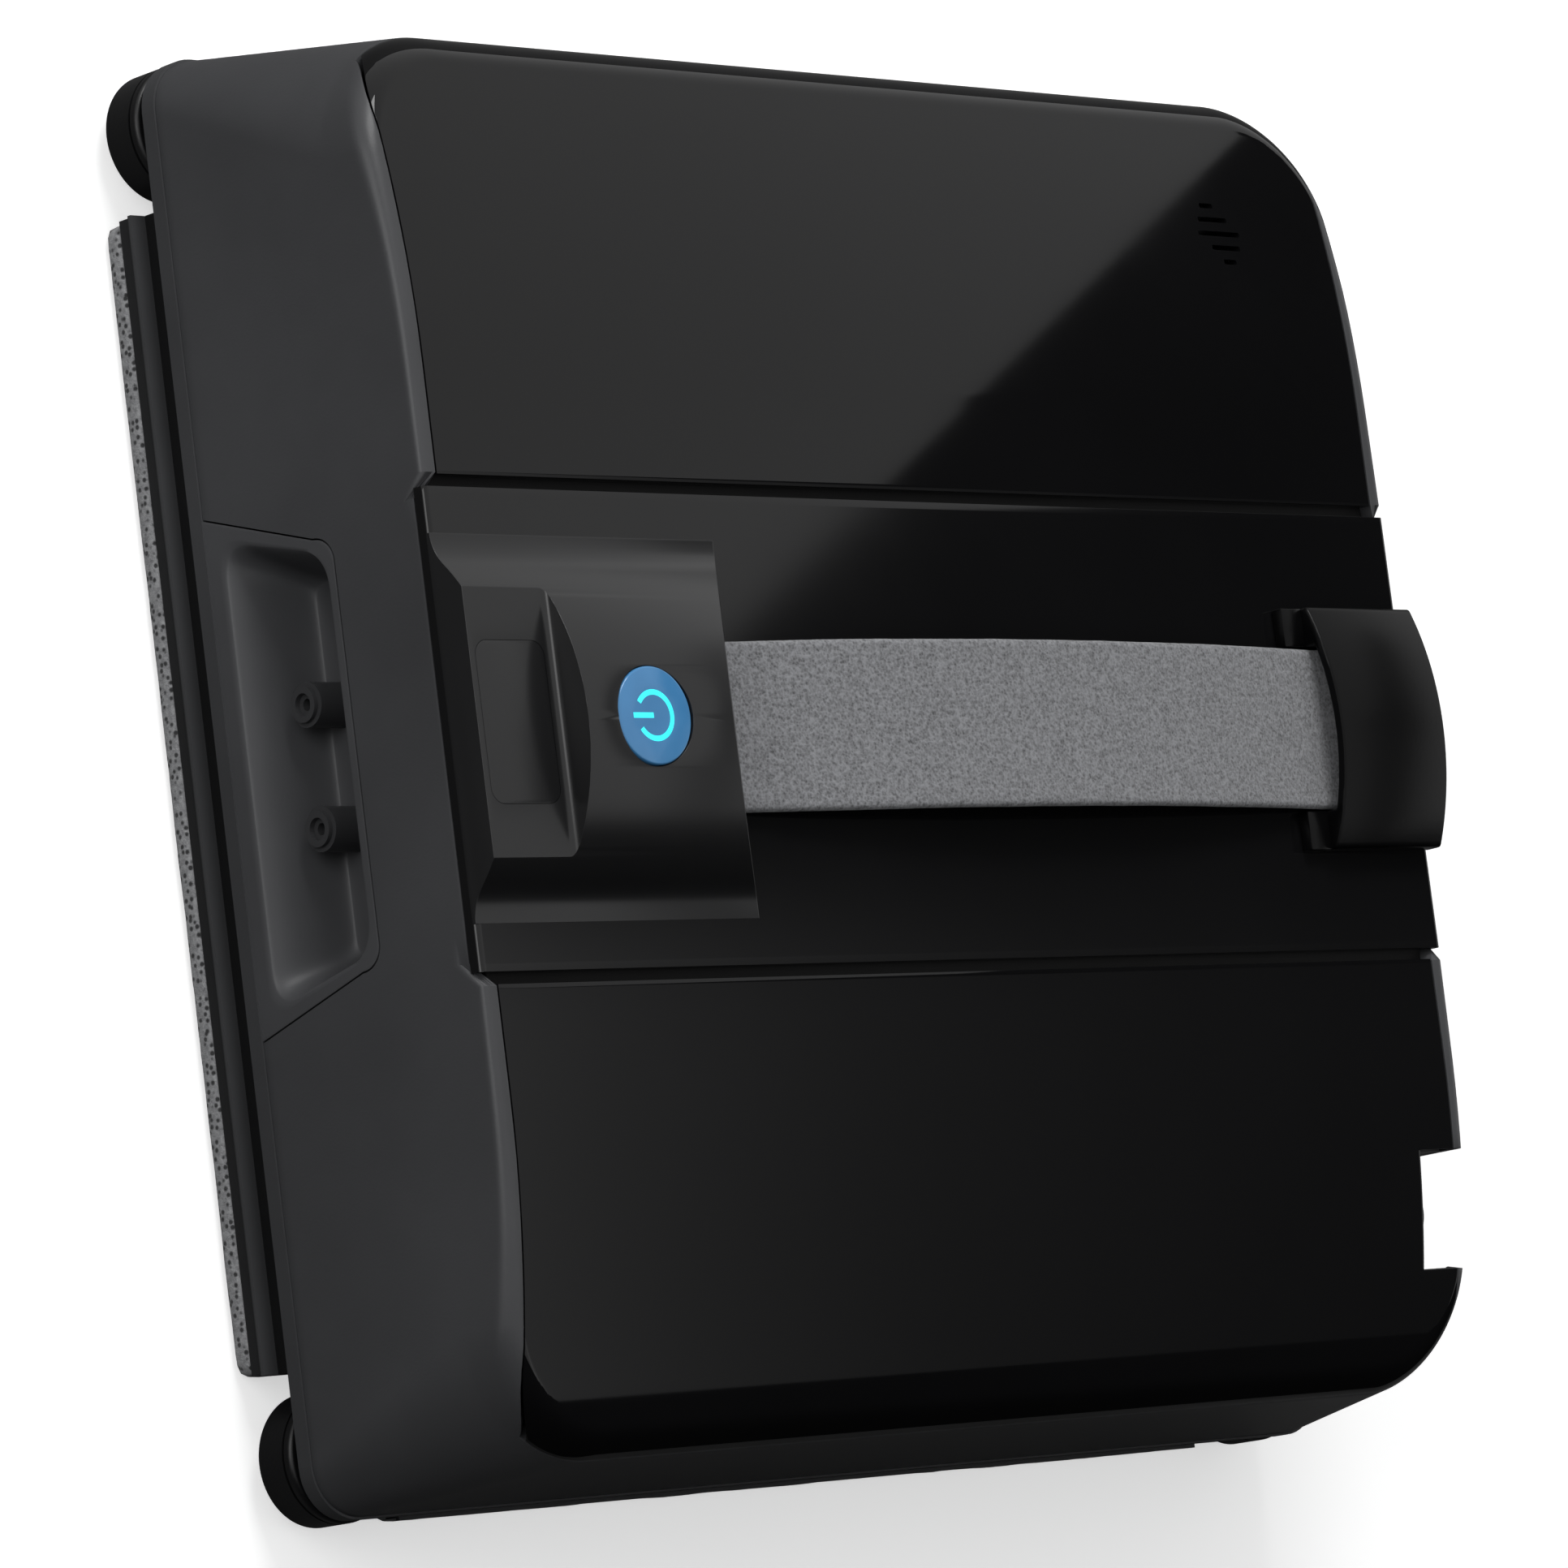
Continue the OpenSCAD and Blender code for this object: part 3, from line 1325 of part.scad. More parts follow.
// Track frame: two side plates on the tray, joined over the belt and through its loop
plate_end = 8;
plate_end_x = wheel_gap / 2 + plate_end;
plate_h = 10;
bridge_x = 14;
bridge_gap = 1;
mount_half = 11;
mount_z = motor_z + gearbox_r;
cross_x = 25;
cross_w = 6;
cross_h = 4;
skid_x = 34;
skid_t = 2;
shaft_hole_r = 3;
module track_frame() {
    foot_z = floor_top + fit_gap;
    bridge_z = belt_z + belt_r + bridge_gap;
    skid_z = belt_z - belt_r + belt_t + part_gap;
    color([0.3, 0.31, 0.33]) difference() {
        union() {
            for (y = [frame_in - frame_t, frame_out])
                translate([0, y, 0]) {
                    block([-plate_end_x, 0, foot_z], [plate_end_x, frame_t, foot_z + plate_h]);
                    block([-bridge_x, 0, foot_z], [bridge_x, frame_t, bridge_z + frame_t]);
                }
            translate([-wheel_gap / 2, 0, 0])
                block([-mount_half, frame_in - frame_t, foot_z], [mount_half, frame_in, mount_z]);
            block([-bridge_x, frame_in - frame_t, bridge_z],
                [bridge_x, frame_out + frame_t, bridge_z + frame_t]);
            for (s = [-1, 1]) translate([s * cross_x, 0, 0]) {
                block([-cross_w / 2, frame_in - over, foot_z + over],
                    [cross_w / 2, frame_out + over, foot_z + over + cross_h]);
                block([-cross_w / 2, track_y - belt_w / 2 + wheel_in, skid_z],
                    [cross_w / 2, track_y + belt_w / 2 - wheel_in, foot_z + 2 * over]);
            }
            block([-skid_x, track_y - belt_w / 2 + wheel_in, skid_z],
                [skid_x, track_y + belt_w / 2 - wheel_in, skid_z + skid_t]);
            for (s = [-1, 1]) translate([s * foot_x, 0, 0])
                block([-foot_d / 2, frame_in - frame_t - foot_d, foot_z],
                    [foot_d / 2, frame_in - over, foot_z + frame_t]);
        }
        for (s = [-1, 1]) translate([s * wheel_gap / 2, far / 2, belt_z]) rotate([90, 0, 0])
            cylinder(h = far, r = axle_r + fit_gap / 2, $fn = round_fn);
        translate([-wheel_gap / 2, frame_in + over, motor_z]) rotate([90, 0, 0])
            cylinder(h = frame_t + 2 * over, r = shaft_hole_r, $fn = round_fn);
        for (s = [-1, 1]) translate([s * foot_x, frame_in - frame_t - foot_d / 2, 0])
            cylinder(h = far, r = screw_r + fit_gap, $fn = round_fn);
    }
}
module track_frame_upper() {
    track_frame();
}
module track_frame_lower() {
    rotate([0, 0, 180]) track_frame();
}
axle_head_r = 3.4;
axle_head_h = 1.2;
module track_axles() {
    color([0.7, 0.71, 0.73]) for (a = [0, 180], s = [-1, 1]) rotate([0, 0, a])
        translate([s * wheel_gap / 2, frame_out + frame_t + fit_gap, belt_z]) rotate([90, 0, 0]) {
            cylinder(h = frame_out - frame_in + 2 * frame_t + fit_gap, r = axle_r, $fn = round_fn);
            translate([0, 0, -axle_head_h]) cylinder(h = axle_head_h, r = axle_head_r, $fn = round_fn);
        }
}

// Corner rollers: a tyre with rounded edges on a hub, turning on a shoulder screw
roller_edge = 0.9;
roller_neck_d = 0.5;
roller_groove_z = 1.6;
roller_groove_w = 0.5;
pin_head_r = 4;
pin_head_h = 1.4;
pin_sink = 0.3;
nut_h = 2;
module corner_roller(sx, sy) {
    top = roller_h;
    color([0.09, 0.09, 0.1]) translate([sx * roller_x, sy * roller_x, roller_z])
        rotate_extrude($fn = 2 * round_fn) difference() {
            union() {
                translate([pin_r + fit_gap, 0]) square([roller_r - roller_edge - pin_r - fit_gap, top]);
                translate([roller_r / 2, roller_edge])
                    square([roller_r / 2, top - 2 * roller_edge]);
                for (z = [roller_edge, top - roller_edge])
                    translate([roller_r - roller_edge, z]) circle(roller_edge, $fn = round_fn);
            }
            square([pin_head_r + part_gap, pin_head_h + pin_sink + part_gap]);
            translate([roller_r - roller_neck_d, top - roller_groove_z - roller_groove_w])
                square([roller_neck_d + over, roller_groove_w]);
        }
}
module corner_roller_1() {
    corner_roller(-1, 1);
}
module corner_roller_2() {
    corner_roller(1, 1);
}
module corner_roller_3() {
    corner_roller(1, -1);
}
module corner_roller_4() {
    corner_roller(-1, -1);
}
module roller_pins() {
    color([0.65, 0.66, 0.68]) for (sx = [-1, 1], sy = [-1, 1])
        translate([sx * roller_x, sy * roller_x, 0]) {
            translate([0, 0, roller_z + pin_sink])
                cylinder(h = well_top + roof_t + nut_h - roller_z - pin_sink, r = pin_r, $fn = round_fn);
            translate([0, 0, roller_z + pin_sink]) cylinder(h = pin_head_h, r = pin_head_r, $fn = round_fn);
            translate([0, 0, well_top + roof_t + fit_gap])
                cylinder(h = nut_h - fit_gap - seat_gap, r = pin_head_r, $fn = 6);
        }
}

// Edge sensors and screws in the tray floor
sensor_out = 1.5;
sensor_flange_r = 5;
sensor_flange_h = 2;
module edge_sensors() {
    color([0.3, 0.1, 0.12]) for (sx = [-1, 1], sy = [-1, 1])
        translate([sx * sensor_x, sy * sensor_y, 0]) {
            translate([0, 0, tray_z - sensor_out])
                cylinder(h = sensor_out + floor_t + sensor_flange_h, r = sensor_r, $fn = round_fn);
            translate([0, 0, floor_top + fit_gap])
                cylinder(h = sensor_flange_h, r = sensor_flange_r, $fn = round_fn);
        }
}
screw_l = 5.5;
screw_slot_r = 1.3;
screw_slot_h = 0.8;
module tray_screws() {
    color([0.6, 0.61, 0.63]) for (sy = [-1, 1], at = screw_places) translate([at[0], sy * at[1], 0])
        difference() {
            union() {
                translate([0, 0, tray_z]) cylinder(h = screw_head_h, r = screw_head_r, $fn = round_fn);
                translate([0, 0, tray_z]) cylinder(h = screw_l, r = screw_r, $fn = round_fn);
            }
            translate([0, 0, tray_z - over])
                cylinder(h = over + screw_slot_h, r = screw_slot_r, $fn = 6);
        }
}

cleaning_pad();
hook_strips();
pad_plate();
base_tray();
side_shell();
upper_panel();
lower_panel();
centre_panel();
strap_clip();
strap_pins();
handle_strap();
power_button();
button_icon();
button_switch();
filler_cap();
water_tank();
water_pump();
spray_hoses();
nozzle_bay();
spray_nozzle_upper();
spray_nozzle_lower();
cable_pocket();
power_inlet();
speaker();
main_board();
mid_frame();
battery_pack();
intake_seal();
fan_housing();
fan_cover();
impeller();
fan_motor();
exhaust_duct();
exhaust_grille();
drive_belt_upper();
drive_belt_lower();
drive_wheel_upper();
drive_wheel_lower();
idler_wheel_upper();
idler_wheel_lower();
drive_gear_upper();
drive_gear_lower();
motor_pinion_upper();
motor_pinion_lower();
gear_motor_upper();
gear_motor_lower();
track_frame_upper();
track_frame_lower();
track_axles();
corner_roller_1();
corner_roller_2();
corner_roller_3();
corner_roller_4();
roller_pins();
edge_sensors();
tray_screws();
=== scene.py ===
import math
import bmesh
import bpy
import numpy as np
from mathutils import Matrix, Vector


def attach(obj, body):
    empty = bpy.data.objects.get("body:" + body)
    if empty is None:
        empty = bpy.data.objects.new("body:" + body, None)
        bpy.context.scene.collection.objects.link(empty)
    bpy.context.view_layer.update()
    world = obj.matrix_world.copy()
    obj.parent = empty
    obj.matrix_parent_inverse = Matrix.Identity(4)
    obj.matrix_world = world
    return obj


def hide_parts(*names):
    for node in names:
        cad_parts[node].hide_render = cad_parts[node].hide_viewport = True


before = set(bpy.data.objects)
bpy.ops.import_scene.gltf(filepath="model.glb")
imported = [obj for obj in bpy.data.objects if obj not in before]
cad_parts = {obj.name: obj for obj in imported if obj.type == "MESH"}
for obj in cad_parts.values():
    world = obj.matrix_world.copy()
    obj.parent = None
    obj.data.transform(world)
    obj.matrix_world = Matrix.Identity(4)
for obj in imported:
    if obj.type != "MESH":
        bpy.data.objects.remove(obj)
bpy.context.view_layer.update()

MM = 0.001
UP = np.array([0.0, 0.0, 1.0])
rng = np.random.default_rng(7)


def place(name, data):
    """Puts an object with this data into the scene."""
    obj = bpy.data.objects.new(name, data)
    bpy.context.scene.collection.objects.link(obj)
    return obj


# Camera: axes and place in the frame, in metres
SENSOR = 36
LENS = 177.405
PICTURE_MID = 966.0
FOCAL_PX = 9520.67
cam_right = Vector((0.71412, -0.12281, 0.68917))
cam_up = Vector((0.00202, 0.98485, 0.17341))
cam_back = Vector((-0.70002, -0.12244, 0.70355))
cam_at = Vector((-0.92483, -0.16333, 0.94975))
cam_data = bpy.data.cameras.new("camera")
cam = place("camera", cam_data)
cam_data.sensor_width = SENSOR
cam_data.lens = LENS
cam_data.clip_start = 0.05
cam_data.clip_end = 30
rows = zip(cam_right, cam_up, cam_back, cam_at)
cam.matrix_world = Matrix([tuple(row) for row in rows] + [(0, 0, 0, 1)])
bpy.context.scene.camera = cam
bpy.context.scene.view_settings.view_transform = "Standard"


# Materials
def new_mat(name):
    m = bpy.data.materials.new(name)
    m.use_nodes = True
    nt = m.node_tree
    return m, nt, nt.nodes["Principled BSDF"]


def coords(nt, stretch=(1, 1, 1)):
    tc = nt.nodes.new("ShaderNodeTexCoord")
    mp = nt.nodes.new("ShaderNodeMapping")
    mp.inputs["Scale"].default_value = stretch
    nt.links.new(tc.outputs["Object"], mp.inputs["Vector"])
    return mp.outputs["Vector"]


def noise(nt, vec, scale, detail=4.0, rough=0.55):
    n = nt.nodes.new("ShaderNodeTexNoise")
    n.inputs["Scale"].default_value = scale
    n.inputs["Detail"].default_value = detail
    n.inputs["Roughness"].default_value = rough
    nt.links.new(vec, n.inputs["Vector"])
    return n.outputs["Fac"]


def voronoi(nt, vec, scale, randomness=1.0):
    n = nt.nodes.new("ShaderNodeTexVoronoi")
    n.inputs["Scale"].default_value = scale
    n.inputs["Randomness"].default_value = randomness
    nt.links.new(vec, n.inputs["Vector"])
    return n.outputs["Distance"]


def ramp(nt, fac, stops):
    r = nt.nodes.new("ShaderNodeValToRGB")
    e = r.color_ramp.elements
    while len(e) < len(stops):
        e.new(0.5)
    for i, (p, c) in enumerate(stops):
        e[i].position = p
        e[i].color = (*c, 1)
    nt.links.new(fac, r.inputs["Fac"])
    return r.outputs["Color"]


def shade(nt, fac, lo, hi):
    """Runs between two colours over the middle of a noise."""
    return ramp(nt, fac, [(0.3, lo), (0.7, hi)])


def spread(nt, fac, lo, hi):
    m = nt.nodes.new("ShaderNodeMapRange")
    m.inputs["From Min"].default_value = 0.3
    m.inputs["From Max"].default_value = 0.7
    m.inputs["To Min"].default_value = lo
    m.inputs["To Max"].default_value = hi
    nt.links.new(fac, m.inputs["Value"])
    return m.outputs["Result"]


def math_node(nt, operation, *values):
    """A math node; each value is a socket or a number."""
    n = nt.nodes.new("ShaderNodeMath")
    n.operation = operation
    for socket, value in zip(n.inputs, values):
        if isinstance(value, (int, float)):
            socket.default_value = value
        else:
            nt.links.new(value, socket)
    return n.outputs[0]


def mix_colors(nt, a, b, factor, blend="MULTIPLY"):
    """Mixes two colours by a number or a socket."""
    n = nt.nodes.new("ShaderNodeMix")
    n.data_type = "RGBA"
    n.blend_type = blend
    if isinstance(factor, (int, float)):
        n.inputs["Factor"].default_value = factor
    else:
        nt.links.new(factor, n.inputs["Factor"])
    nt.links.new(a, n.inputs["A"])
    nt.links.new(b, n.inputs["B"])
    return n.outputs["Result"]


def bump(nt, bsdf, height, strength, distance):
    b = nt.nodes.new("ShaderNodeBump")
    b.inputs["Strength"].default_value = strength
    b.inputs["Distance"].default_value = distance
    nt.links.new(height, b.inputs["Height"])
    nt.links.new(b.outputs["Normal"], bsdf.inputs["Normal"])


def moulded(name, color, rough, vary=0.04, grain=900, relief=0.15, ior=1.45, tone=0.18):
    """Moulded plastic: fine grain in the bump, slow changes in tone and roughness."""
    m, nt, b = new_mat(name)
    v = coords(nt)
    slow = noise(nt, v, 14, 5)
    fine = noise(nt, v, grain, 3)
    lo = tuple(c * (1 - tone) for c in color)
    hi = tuple(c * (1 + tone) for c in color)
    nt.links.new(shade(nt, slow, lo, hi), b.inputs["Base Color"])
    nt.links.new(spread(nt, slow, rough - vary, rough + vary), b.inputs["Roughness"])
    if relief:
        bump(nt, b, fine, relief, 0.0002)
    b.inputs["IOR"].default_value = ior
    return m


def metal(name, color, rough, stretch=(1, 1, 1)):
    """Metal with fine drawn or turned lines."""
    m, nt, b = new_mat(name)
    v = coords(nt, stretch)
    lines = noise(nt, v, 260, 3)
    slow = noise(nt, v, 20, 4)
    lo = tuple(c * 0.82 for c in color)
    hi = tuple(min(1, c * 1.1) for c in color)
    nt.links.new(shade(nt, lines, lo, hi), b.inputs["Base Color"])
    nt.links.new(spread(nt, slow, rough - 0.06, rough + 0.08), b.inputs["Roughness"])
    b.inputs["Metallic"].default_value = 1
    bump(nt, b, lines, 0.12, 0.0001)
    return m


def felt(name, dark, mid, light, cell, depth):
    """Knitted or felted fibre: dark and pale flecks over loops."""
    m, nt, b = new_mat(name)
    v = coords(nt)
    big = noise(nt, v, cell, 5, 0.7)
    fibre = math_node(nt, "MULTIPLY_ADD", voronoi(nt, v, cell * 1.7), 0.35, big)
    nt.links.new(ramp(nt, fibre, [(0.42, dark), (0.56, mid), (0.82, light)]), b.inputs["Base Color"])
    b.inputs["Roughness"].default_value = 0.95
    b.inputs["Sheen Weight"].default_value = 0.25
    b.inputs["Sheen Roughness"].default_value = 0.6
    bump(nt, b, fibre, depth, 0.0006)
    return m


GLOSS = moulded("gloss_black", (0.0046, 0.0046, 0.005),
                rough=0.03, vary=0.008, grain=60, relief=0, ior=1.315, tone=0.12)
CONSOLE = moulded("gloss_console", (0.0105, 0.0106, 0.0112),
                  rough=0.26, vary=0.02, grain=60, relief=0, ior=1.42, tone=0.10)
GROOVE = moulded("groove_black", (0.0022, 0.0022, 0.0023),
                 rough=0.5, vary=0.05, grain=900, relief=0.05, ior=1.2)
BAND = moulded("gloss_band", (0.0046, 0.0046, 0.005),
               rough=0.06, vary=0.01, grain=60, relief=0, ior=1.37, tone=0.12)
CLIP = moulded("clip_black", (0.0024, 0.0024, 0.0026),
               rough=0.26, vary=0.03, grain=1500, relief=0.05, ior=1.20)
SHELL = moulded("shell_satin", (0.058, 0.059, 0.0625),
                rough=0.36, vary=0.03, grain=2200, relief=0.10, ior=1.34)
TRAY = moulded("tray_satin", (0.055, 0.056, 0.0592),
               rough=0.42, vary=0.05, grain=1600, relief=0.14, ior=1.32)
PLATE = moulded("plate_black", (0.060, 0.061, 0.064),
                rough=0.45, vary=0.05, grain=1200, relief=0.15, ior=1.38)
BAY = moulded("bay_satin", (0.013, 0.013, 0.0135),
              rough=0.36, vary=0.04, grain=2000, relief=0.10, ior=1.42)
NOZZLE = moulded("nozzle_satin", (0.046, 0.0467, 0.0493),
                 rough=0.38, vary=0.04, grain=2000, relief=0.08, ior=1.36)
BAYWALL = moulded("bay_wall", (0.066, 0.067, 0.071),
                  rough=0.40, vary=0.03, grain=2200, relief=0.10, ior=1.34)
ROLLER = moulded("roller_rubber", (0.0065, 0.0065, 0.007),
                 rough=0.38, vary=0.06, grain=1300, relief=0.12, ior=1.36)
BELT = moulded("belt_rubber", (0.02, 0.02, 0.021),
               rough=0.75, vary=0.08, grain=1500, relief=0.35, ior=1.45)
SEAL = moulded("seal_rubber", (0.03, 0.03, 0.03),
               rough=0.8, vary=0.08, grain=1500, relief=0.3, ior=1.45)
WHEEL = moulded("wheel_plastic", (0.52, 0.53, 0.55),
                rough=0.4, vary=0.05, grain=1200, relief=0.12, ior=1.46, tone=0.06)
GEAR = moulded("gear_plastic", (0.72, 0.69, 0.6),
               rough=0.42, vary=0.05, grain=1400, relief=0.12, ior=1.46, tone=0.06)
FRAME = moulded("frame_dark", (0.05, 0.053, 0.06),
                rough=0.45, vary=0.05, grain=1400, relief=0.2, ior=1.46)
FAN = moulded("fan_white", (0.66, 0.67, 0.7),
              rough=0.4, vary=0.05, grain=1400, relief=0.12, ior=1.46, tone=0.05)
BOARD = moulded("board_green", (0.012, 0.075, 0.03),
                rough=0.35, vary=0.08, grain=700, relief=0.25, ior=1.5, tone=0.3)
BATTERY = moulded("battery_blue", (0.03, 0.12, 0.35),
                  rough=0.32, vary=0.06, grain=500, relief=0.2, ior=1.48, tone=0.12)
TANK = moulded("tank_clear", (0.42, 0.5, 0.58),
               rough=0.2, vary=0.04, grain=900, relief=0.08, ior=1.46, tone=0.06)
HOSE = moulded("hose_clear", (0.4, 0.43, 0.46),
               rough=0.25, vary=0.04, grain=900, relief=0.08, ior=1.42, tone=0.06)
PUMP = moulded("pump_grey", (0.09, 0.095, 0.1),
               rough=0.42, vary=0.05, grain=1200, relief=0.2, ior=1.46)
SENSOR = moulded("sensor_red", (0.06, 0.008, 0.012),
                 rough=0.12, vary=0.03, grain=600, relief=0.03, ior=1.5)
STEEL = metal("steel_turned", (0.56, 0.57, 0.58), rough=0.3)
CAN = metal("motor_can", (0.42, 0.43, 0.45), rough=0.38, stretch=(1, 1, 5))
BRASS = metal("pinion_brass", (0.72, 0.5, 0.2), rough=0.28)
HOOK = felt("hook_strips", (0.004, 0.004, 0.004), (0.012, 0.012, 0.013), (0.03, 0.03, 0.03),
            cell=900, depth=0.6)
STRAP = felt("strap_fabric", (0.055, 0.056, 0.060), (0.142, 0.144, 0.152), (0.27, 0.275, 0.29),
             cell=1100, depth=0.45)
PAD = felt("pad_fabric", (0.03, 0.03, 0.032), (0.15, 0.152, 0.158), (0.3, 0.305, 0.31),
           cell=420, depth=0.8)


def pad_edge_fabric():
    """Looped fibre with dark dots between the loops."""
    m, nt, b = new_mat("pad_edge_fabric")
    v = coords(nt)
    cells = voronoi(nt, v, 800, 0.75)
    fuzz = noise(nt, v, 900, 4, 0.7)
    dots = ramp(nt, cells, [(0.22, (0.015, 0.015, 0.016)), (0.42, (1, 1, 1))])
    pale = shade(nt, fuzz, (0.20, 0.202, 0.21), (0.42, 0.424, 0.435))
    nt.links.new(mix_colors(nt, pale, dots, 0.9), b.inputs["Base Color"])
    b.inputs["Roughness"].default_value = 0.95
    b.inputs["Sheen Weight"].default_value = 0.2
    bump(nt, b, fuzz, 0.7, 0.0006)
    return m


def paint_shade_by_height(mat, stops):
    """Lays painted shade by height over a moulded material: stops are (height in mm, factor)."""
    reach = 20.0
    nt = mat.node_tree
    color = nt.nodes["Principled BSDF"].inputs["Base Color"]
    old = color.links[0].from_socket
    split = nt.nodes.new("ShaderNodeSeparateXYZ")
    nt.links.new(coords(nt), split.inputs[0])
    share = math_node(nt, "DIVIDE", split.outputs["Z"], reach * MM)
    painted_shade = ramp(nt, share, [(z / reach, (f, f, f)) for z, f in stops])
    nt.links.new(mix_colors(nt, old, painted_shade, 1.0), color)


def button_blue():
    m, nt, b = new_mat("button_blue")
    slow = noise(nt, coords(nt), 90, 3)
    nt.links.new(shade(nt, slow, (0.055, 0.235, 0.50), (0.075, 0.275, 0.56)), b.inputs["Base Color"])
    nt.links.new(spread(nt, slow, 0.12, 0.2), b.inputs["Roughness"])
    return m


def icon_cyan():
    m, nt, b = new_mat("icon_cyan")
    slow = noise(nt, coords(nt), 160, 2)
    glow = shade(nt, slow, (0.035, 0.80, 0.86), (0.05, 0.88, 0.93))
    nt.links.new(glow, b.inputs["Base Color"])
    nt.links.new(glow, b.inputs["Emission Color"])
    b.inputs["Emission Strength"].default_value = 0.55
    nt.links.new(spread(nt, slow, 0.3, 0.4), b.inputs["Roughness"])
    return m


EDGE = pad_edge_fabric()
TRAY_SHADE_TO = 12.2
PLATE_BEAD_FROM = 6.9
# Painted shade: the tray is darkened below 12.2 mm, in the gap under the body's rim, and the pad plate is
# darkened below its bead, just above the pad.
paint_shade_by_height(TRAY, [(TRAY_SHADE_TO, 0.10), (TRAY_SHADE_TO + 0.6, 1.0)])
paint_shade_by_height(PLATE, [(PLATE_BEAD_FROM - 0.4, 0.32), (PLATE_BEAD_FROM, 1.0)])
BUTTON = button_blue()
ICON = icon_cyan()

DRESS = {
    "base_tray": TRAY, "pad_plate": PLATE, "hook_strips": HOOK, "strap_pins": STEEL,
    "button_switch": BOARD, "water_tank": TANK, "water_pump": PUMP, "spray_hoses": HOSE,
    "spray_nozzle_upper": NOZZLE, "spray_nozzle_lower": NOZZLE, "cable_pocket": BAY,
    "power_inlet": NOZZLE, "speaker": CAN, "main_board": BOARD, "mid_frame": FRAME,
    "battery_pack": BATTERY, "intake_seal": SEAL, "fan_housing": FRAME, "fan_cover": FRAME,
    "impeller": FAN, "fan_motor": CAN, "exhaust_duct": FRAME, "exhaust_grille": BAY,
    "track_axles": STEEL, "roller_pins": STEEL, "edge_sensors": SENSOR, "tray_screws": STEEL,
    "nozzle_bay": BAYWALL, "button_icon": ICON, "power_button": BUTTON, "strap_clip": CLIP,
    "filler_cap": CONSOLE, "upper_panel": GLOSS, "lower_panel": GLOSS, "centre_panel": CONSOLE,
    "side_shell": SHELL, "cleaning_pad": PAD, "handle_strap": STRAP}
DRIVE_DRESS = {
    "drive_belt": BELT, "drive_wheel": WHEEL, "idler_wheel": WHEEL, "drive_gear": GEAR,
    "motor_pinion": BRASS, "gear_motor": CAN, "track_frame": FRAME}
for side in ("upper", "lower"):
    DRESS.update({"%s_%s" % (piece, side): mat for piece, mat in DRIVE_DRESS.items()})
for i in range(1, 5):
    DRESS["corner_roller_%d" % i] = ROLLER
for node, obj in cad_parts.items():
    obj.data.materials.clear()
    obj.data.materials.append(DRESS[node])


# Sizes of the body in mm, as in the part
BODY = 119.6
RIM_Z = 12.7
BASE_Z = 15.8
FACE_Z = 63.6
WALL_TOP = 50.6
LEAN_ANGLE = math.radians(5.9)
LEAN = math.tan(LEAN_ANGLE)
CORNER_LOW = 9.0
CORNER_HIGH = 22.0
ROLL_DROP = 8.0
START = 0.48 * BODY


def half_at(z):
    """Half the body's width at a height."""
    return BODY - (z - RIM_Z) * LEAN


RUN = half_at(WALL_TOP) - START
CORE = half_at(WALL_TOP) - CORNER_HIGH

# Rounding of the face's outer edge, by the distance from the middle
ROUND_AT = [0, 39.75, 60.2, 78.7, 93.7, 115.5]
ROUND_R = [0.8, 0.8, 1.4, 1.8, 3.0, 5.0]

# Face panels and the seams round them
PANEL_R = 18.0
PANEL_NEAR = 40.75
PANEL_END = 52.0
PANEL_HALF = half_at(FACE_Z) - 3.2
PANEL_CX = PANEL_HALF - PANEL_R
PANEL_CY = half_at(PANEL_END) + 1.6 - PANEL_R
PANEL_T = 2.1
SEAM = 0.3

# Centre band, and the trough of the shell that it lies in
BAND_HALF = 38.72
TROUGH_HALF = 40.85
TROUGH_Z = 61.3
GROOVE_HALF = 41.0
GROOVE_FLOOR_X = 111.4
GROOVE_FLOOR_Y = (34.8, 44.7)
GROOVE_FLOOR_Z = (59.4, 61.28)

# Cable notch
NOTCH_X = 102.3
NOTCH_Y = (-95.3, -74.4)

# Nozzle bay: the turn of its upper corners and the feet of its seam
BAY_TURN = (30.8, 38.9)
BAY_R = 4.25
BAY_HOLE_FOOT = (42.8, 15.45)
BAY_GAP = 0.3
BAY_BACK_X = -105.45


def face_at(y):
    return FACE_Z - ROLL_DROP * (np.maximum(0, np.abs(y) - START) / RUN) ** 2


def face_slope(y):
    """How steeply the face falls at a distance from the middle."""
    return 2 * ROLL_DROP * np.maximum(0, y - START) / RUN ** 2


def body_f(p):
    """Distance-like function of the body: 0 on its surface, below 0 inside. p is (..., 3) in mm."""
    x, y, z = np.abs(p[..., 0]), np.abs(p[..., 1]), p[..., 2]
    h = half_at(z)
    grow = (CORNER_HIGH - CORNER_LOW) / (WALL_TOP - BASE_Z)
    rad = np.clip(CORNER_LOW + (z - BASE_Z) * grow, CORNER_LOW, CORNER_HIGH)
    qx, qy = x - (h - rad), y - (h - rad)
    g1 = np.hypot(np.maximum(qx, 0), np.maximum(qy, 0)) + np.minimum(np.maximum(qx, qy), 0) - rad
    g1 = g1 * math.cos(LEAN_ANGLE)
    g2 = (z - face_at(y)) / np.sqrt(1 + face_slope(y) ** 2)
    r = np.interp(y, ROUND_AT, ROUND_R)
    return np.minimum(np.maximum(g1, g2), -r) + np.hypot(np.maximum(g1 + r, 0), np.maximum(g2 + r, 0))


def march(origin, direction, far):
    """Where rays that start inside leave the body."""
    lo = np.zeros(len(origin))
    hi = np.full(len(origin), float(far))
    for _ in range(34):
        mid = (lo + hi) / 2
        inside = body_f(origin + direction * mid[:, None]) < 0
        lo = np.where(inside, mid, lo)
        hi = np.where(inside, hi, mid)
    return origin + direction * lo[:, None]


def run_along(line):
    """Distance run at each point of a line."""
    return np.concatenate([[0], np.cumsum(np.linalg.norm(np.diff(line, axis=0), axis=1))])


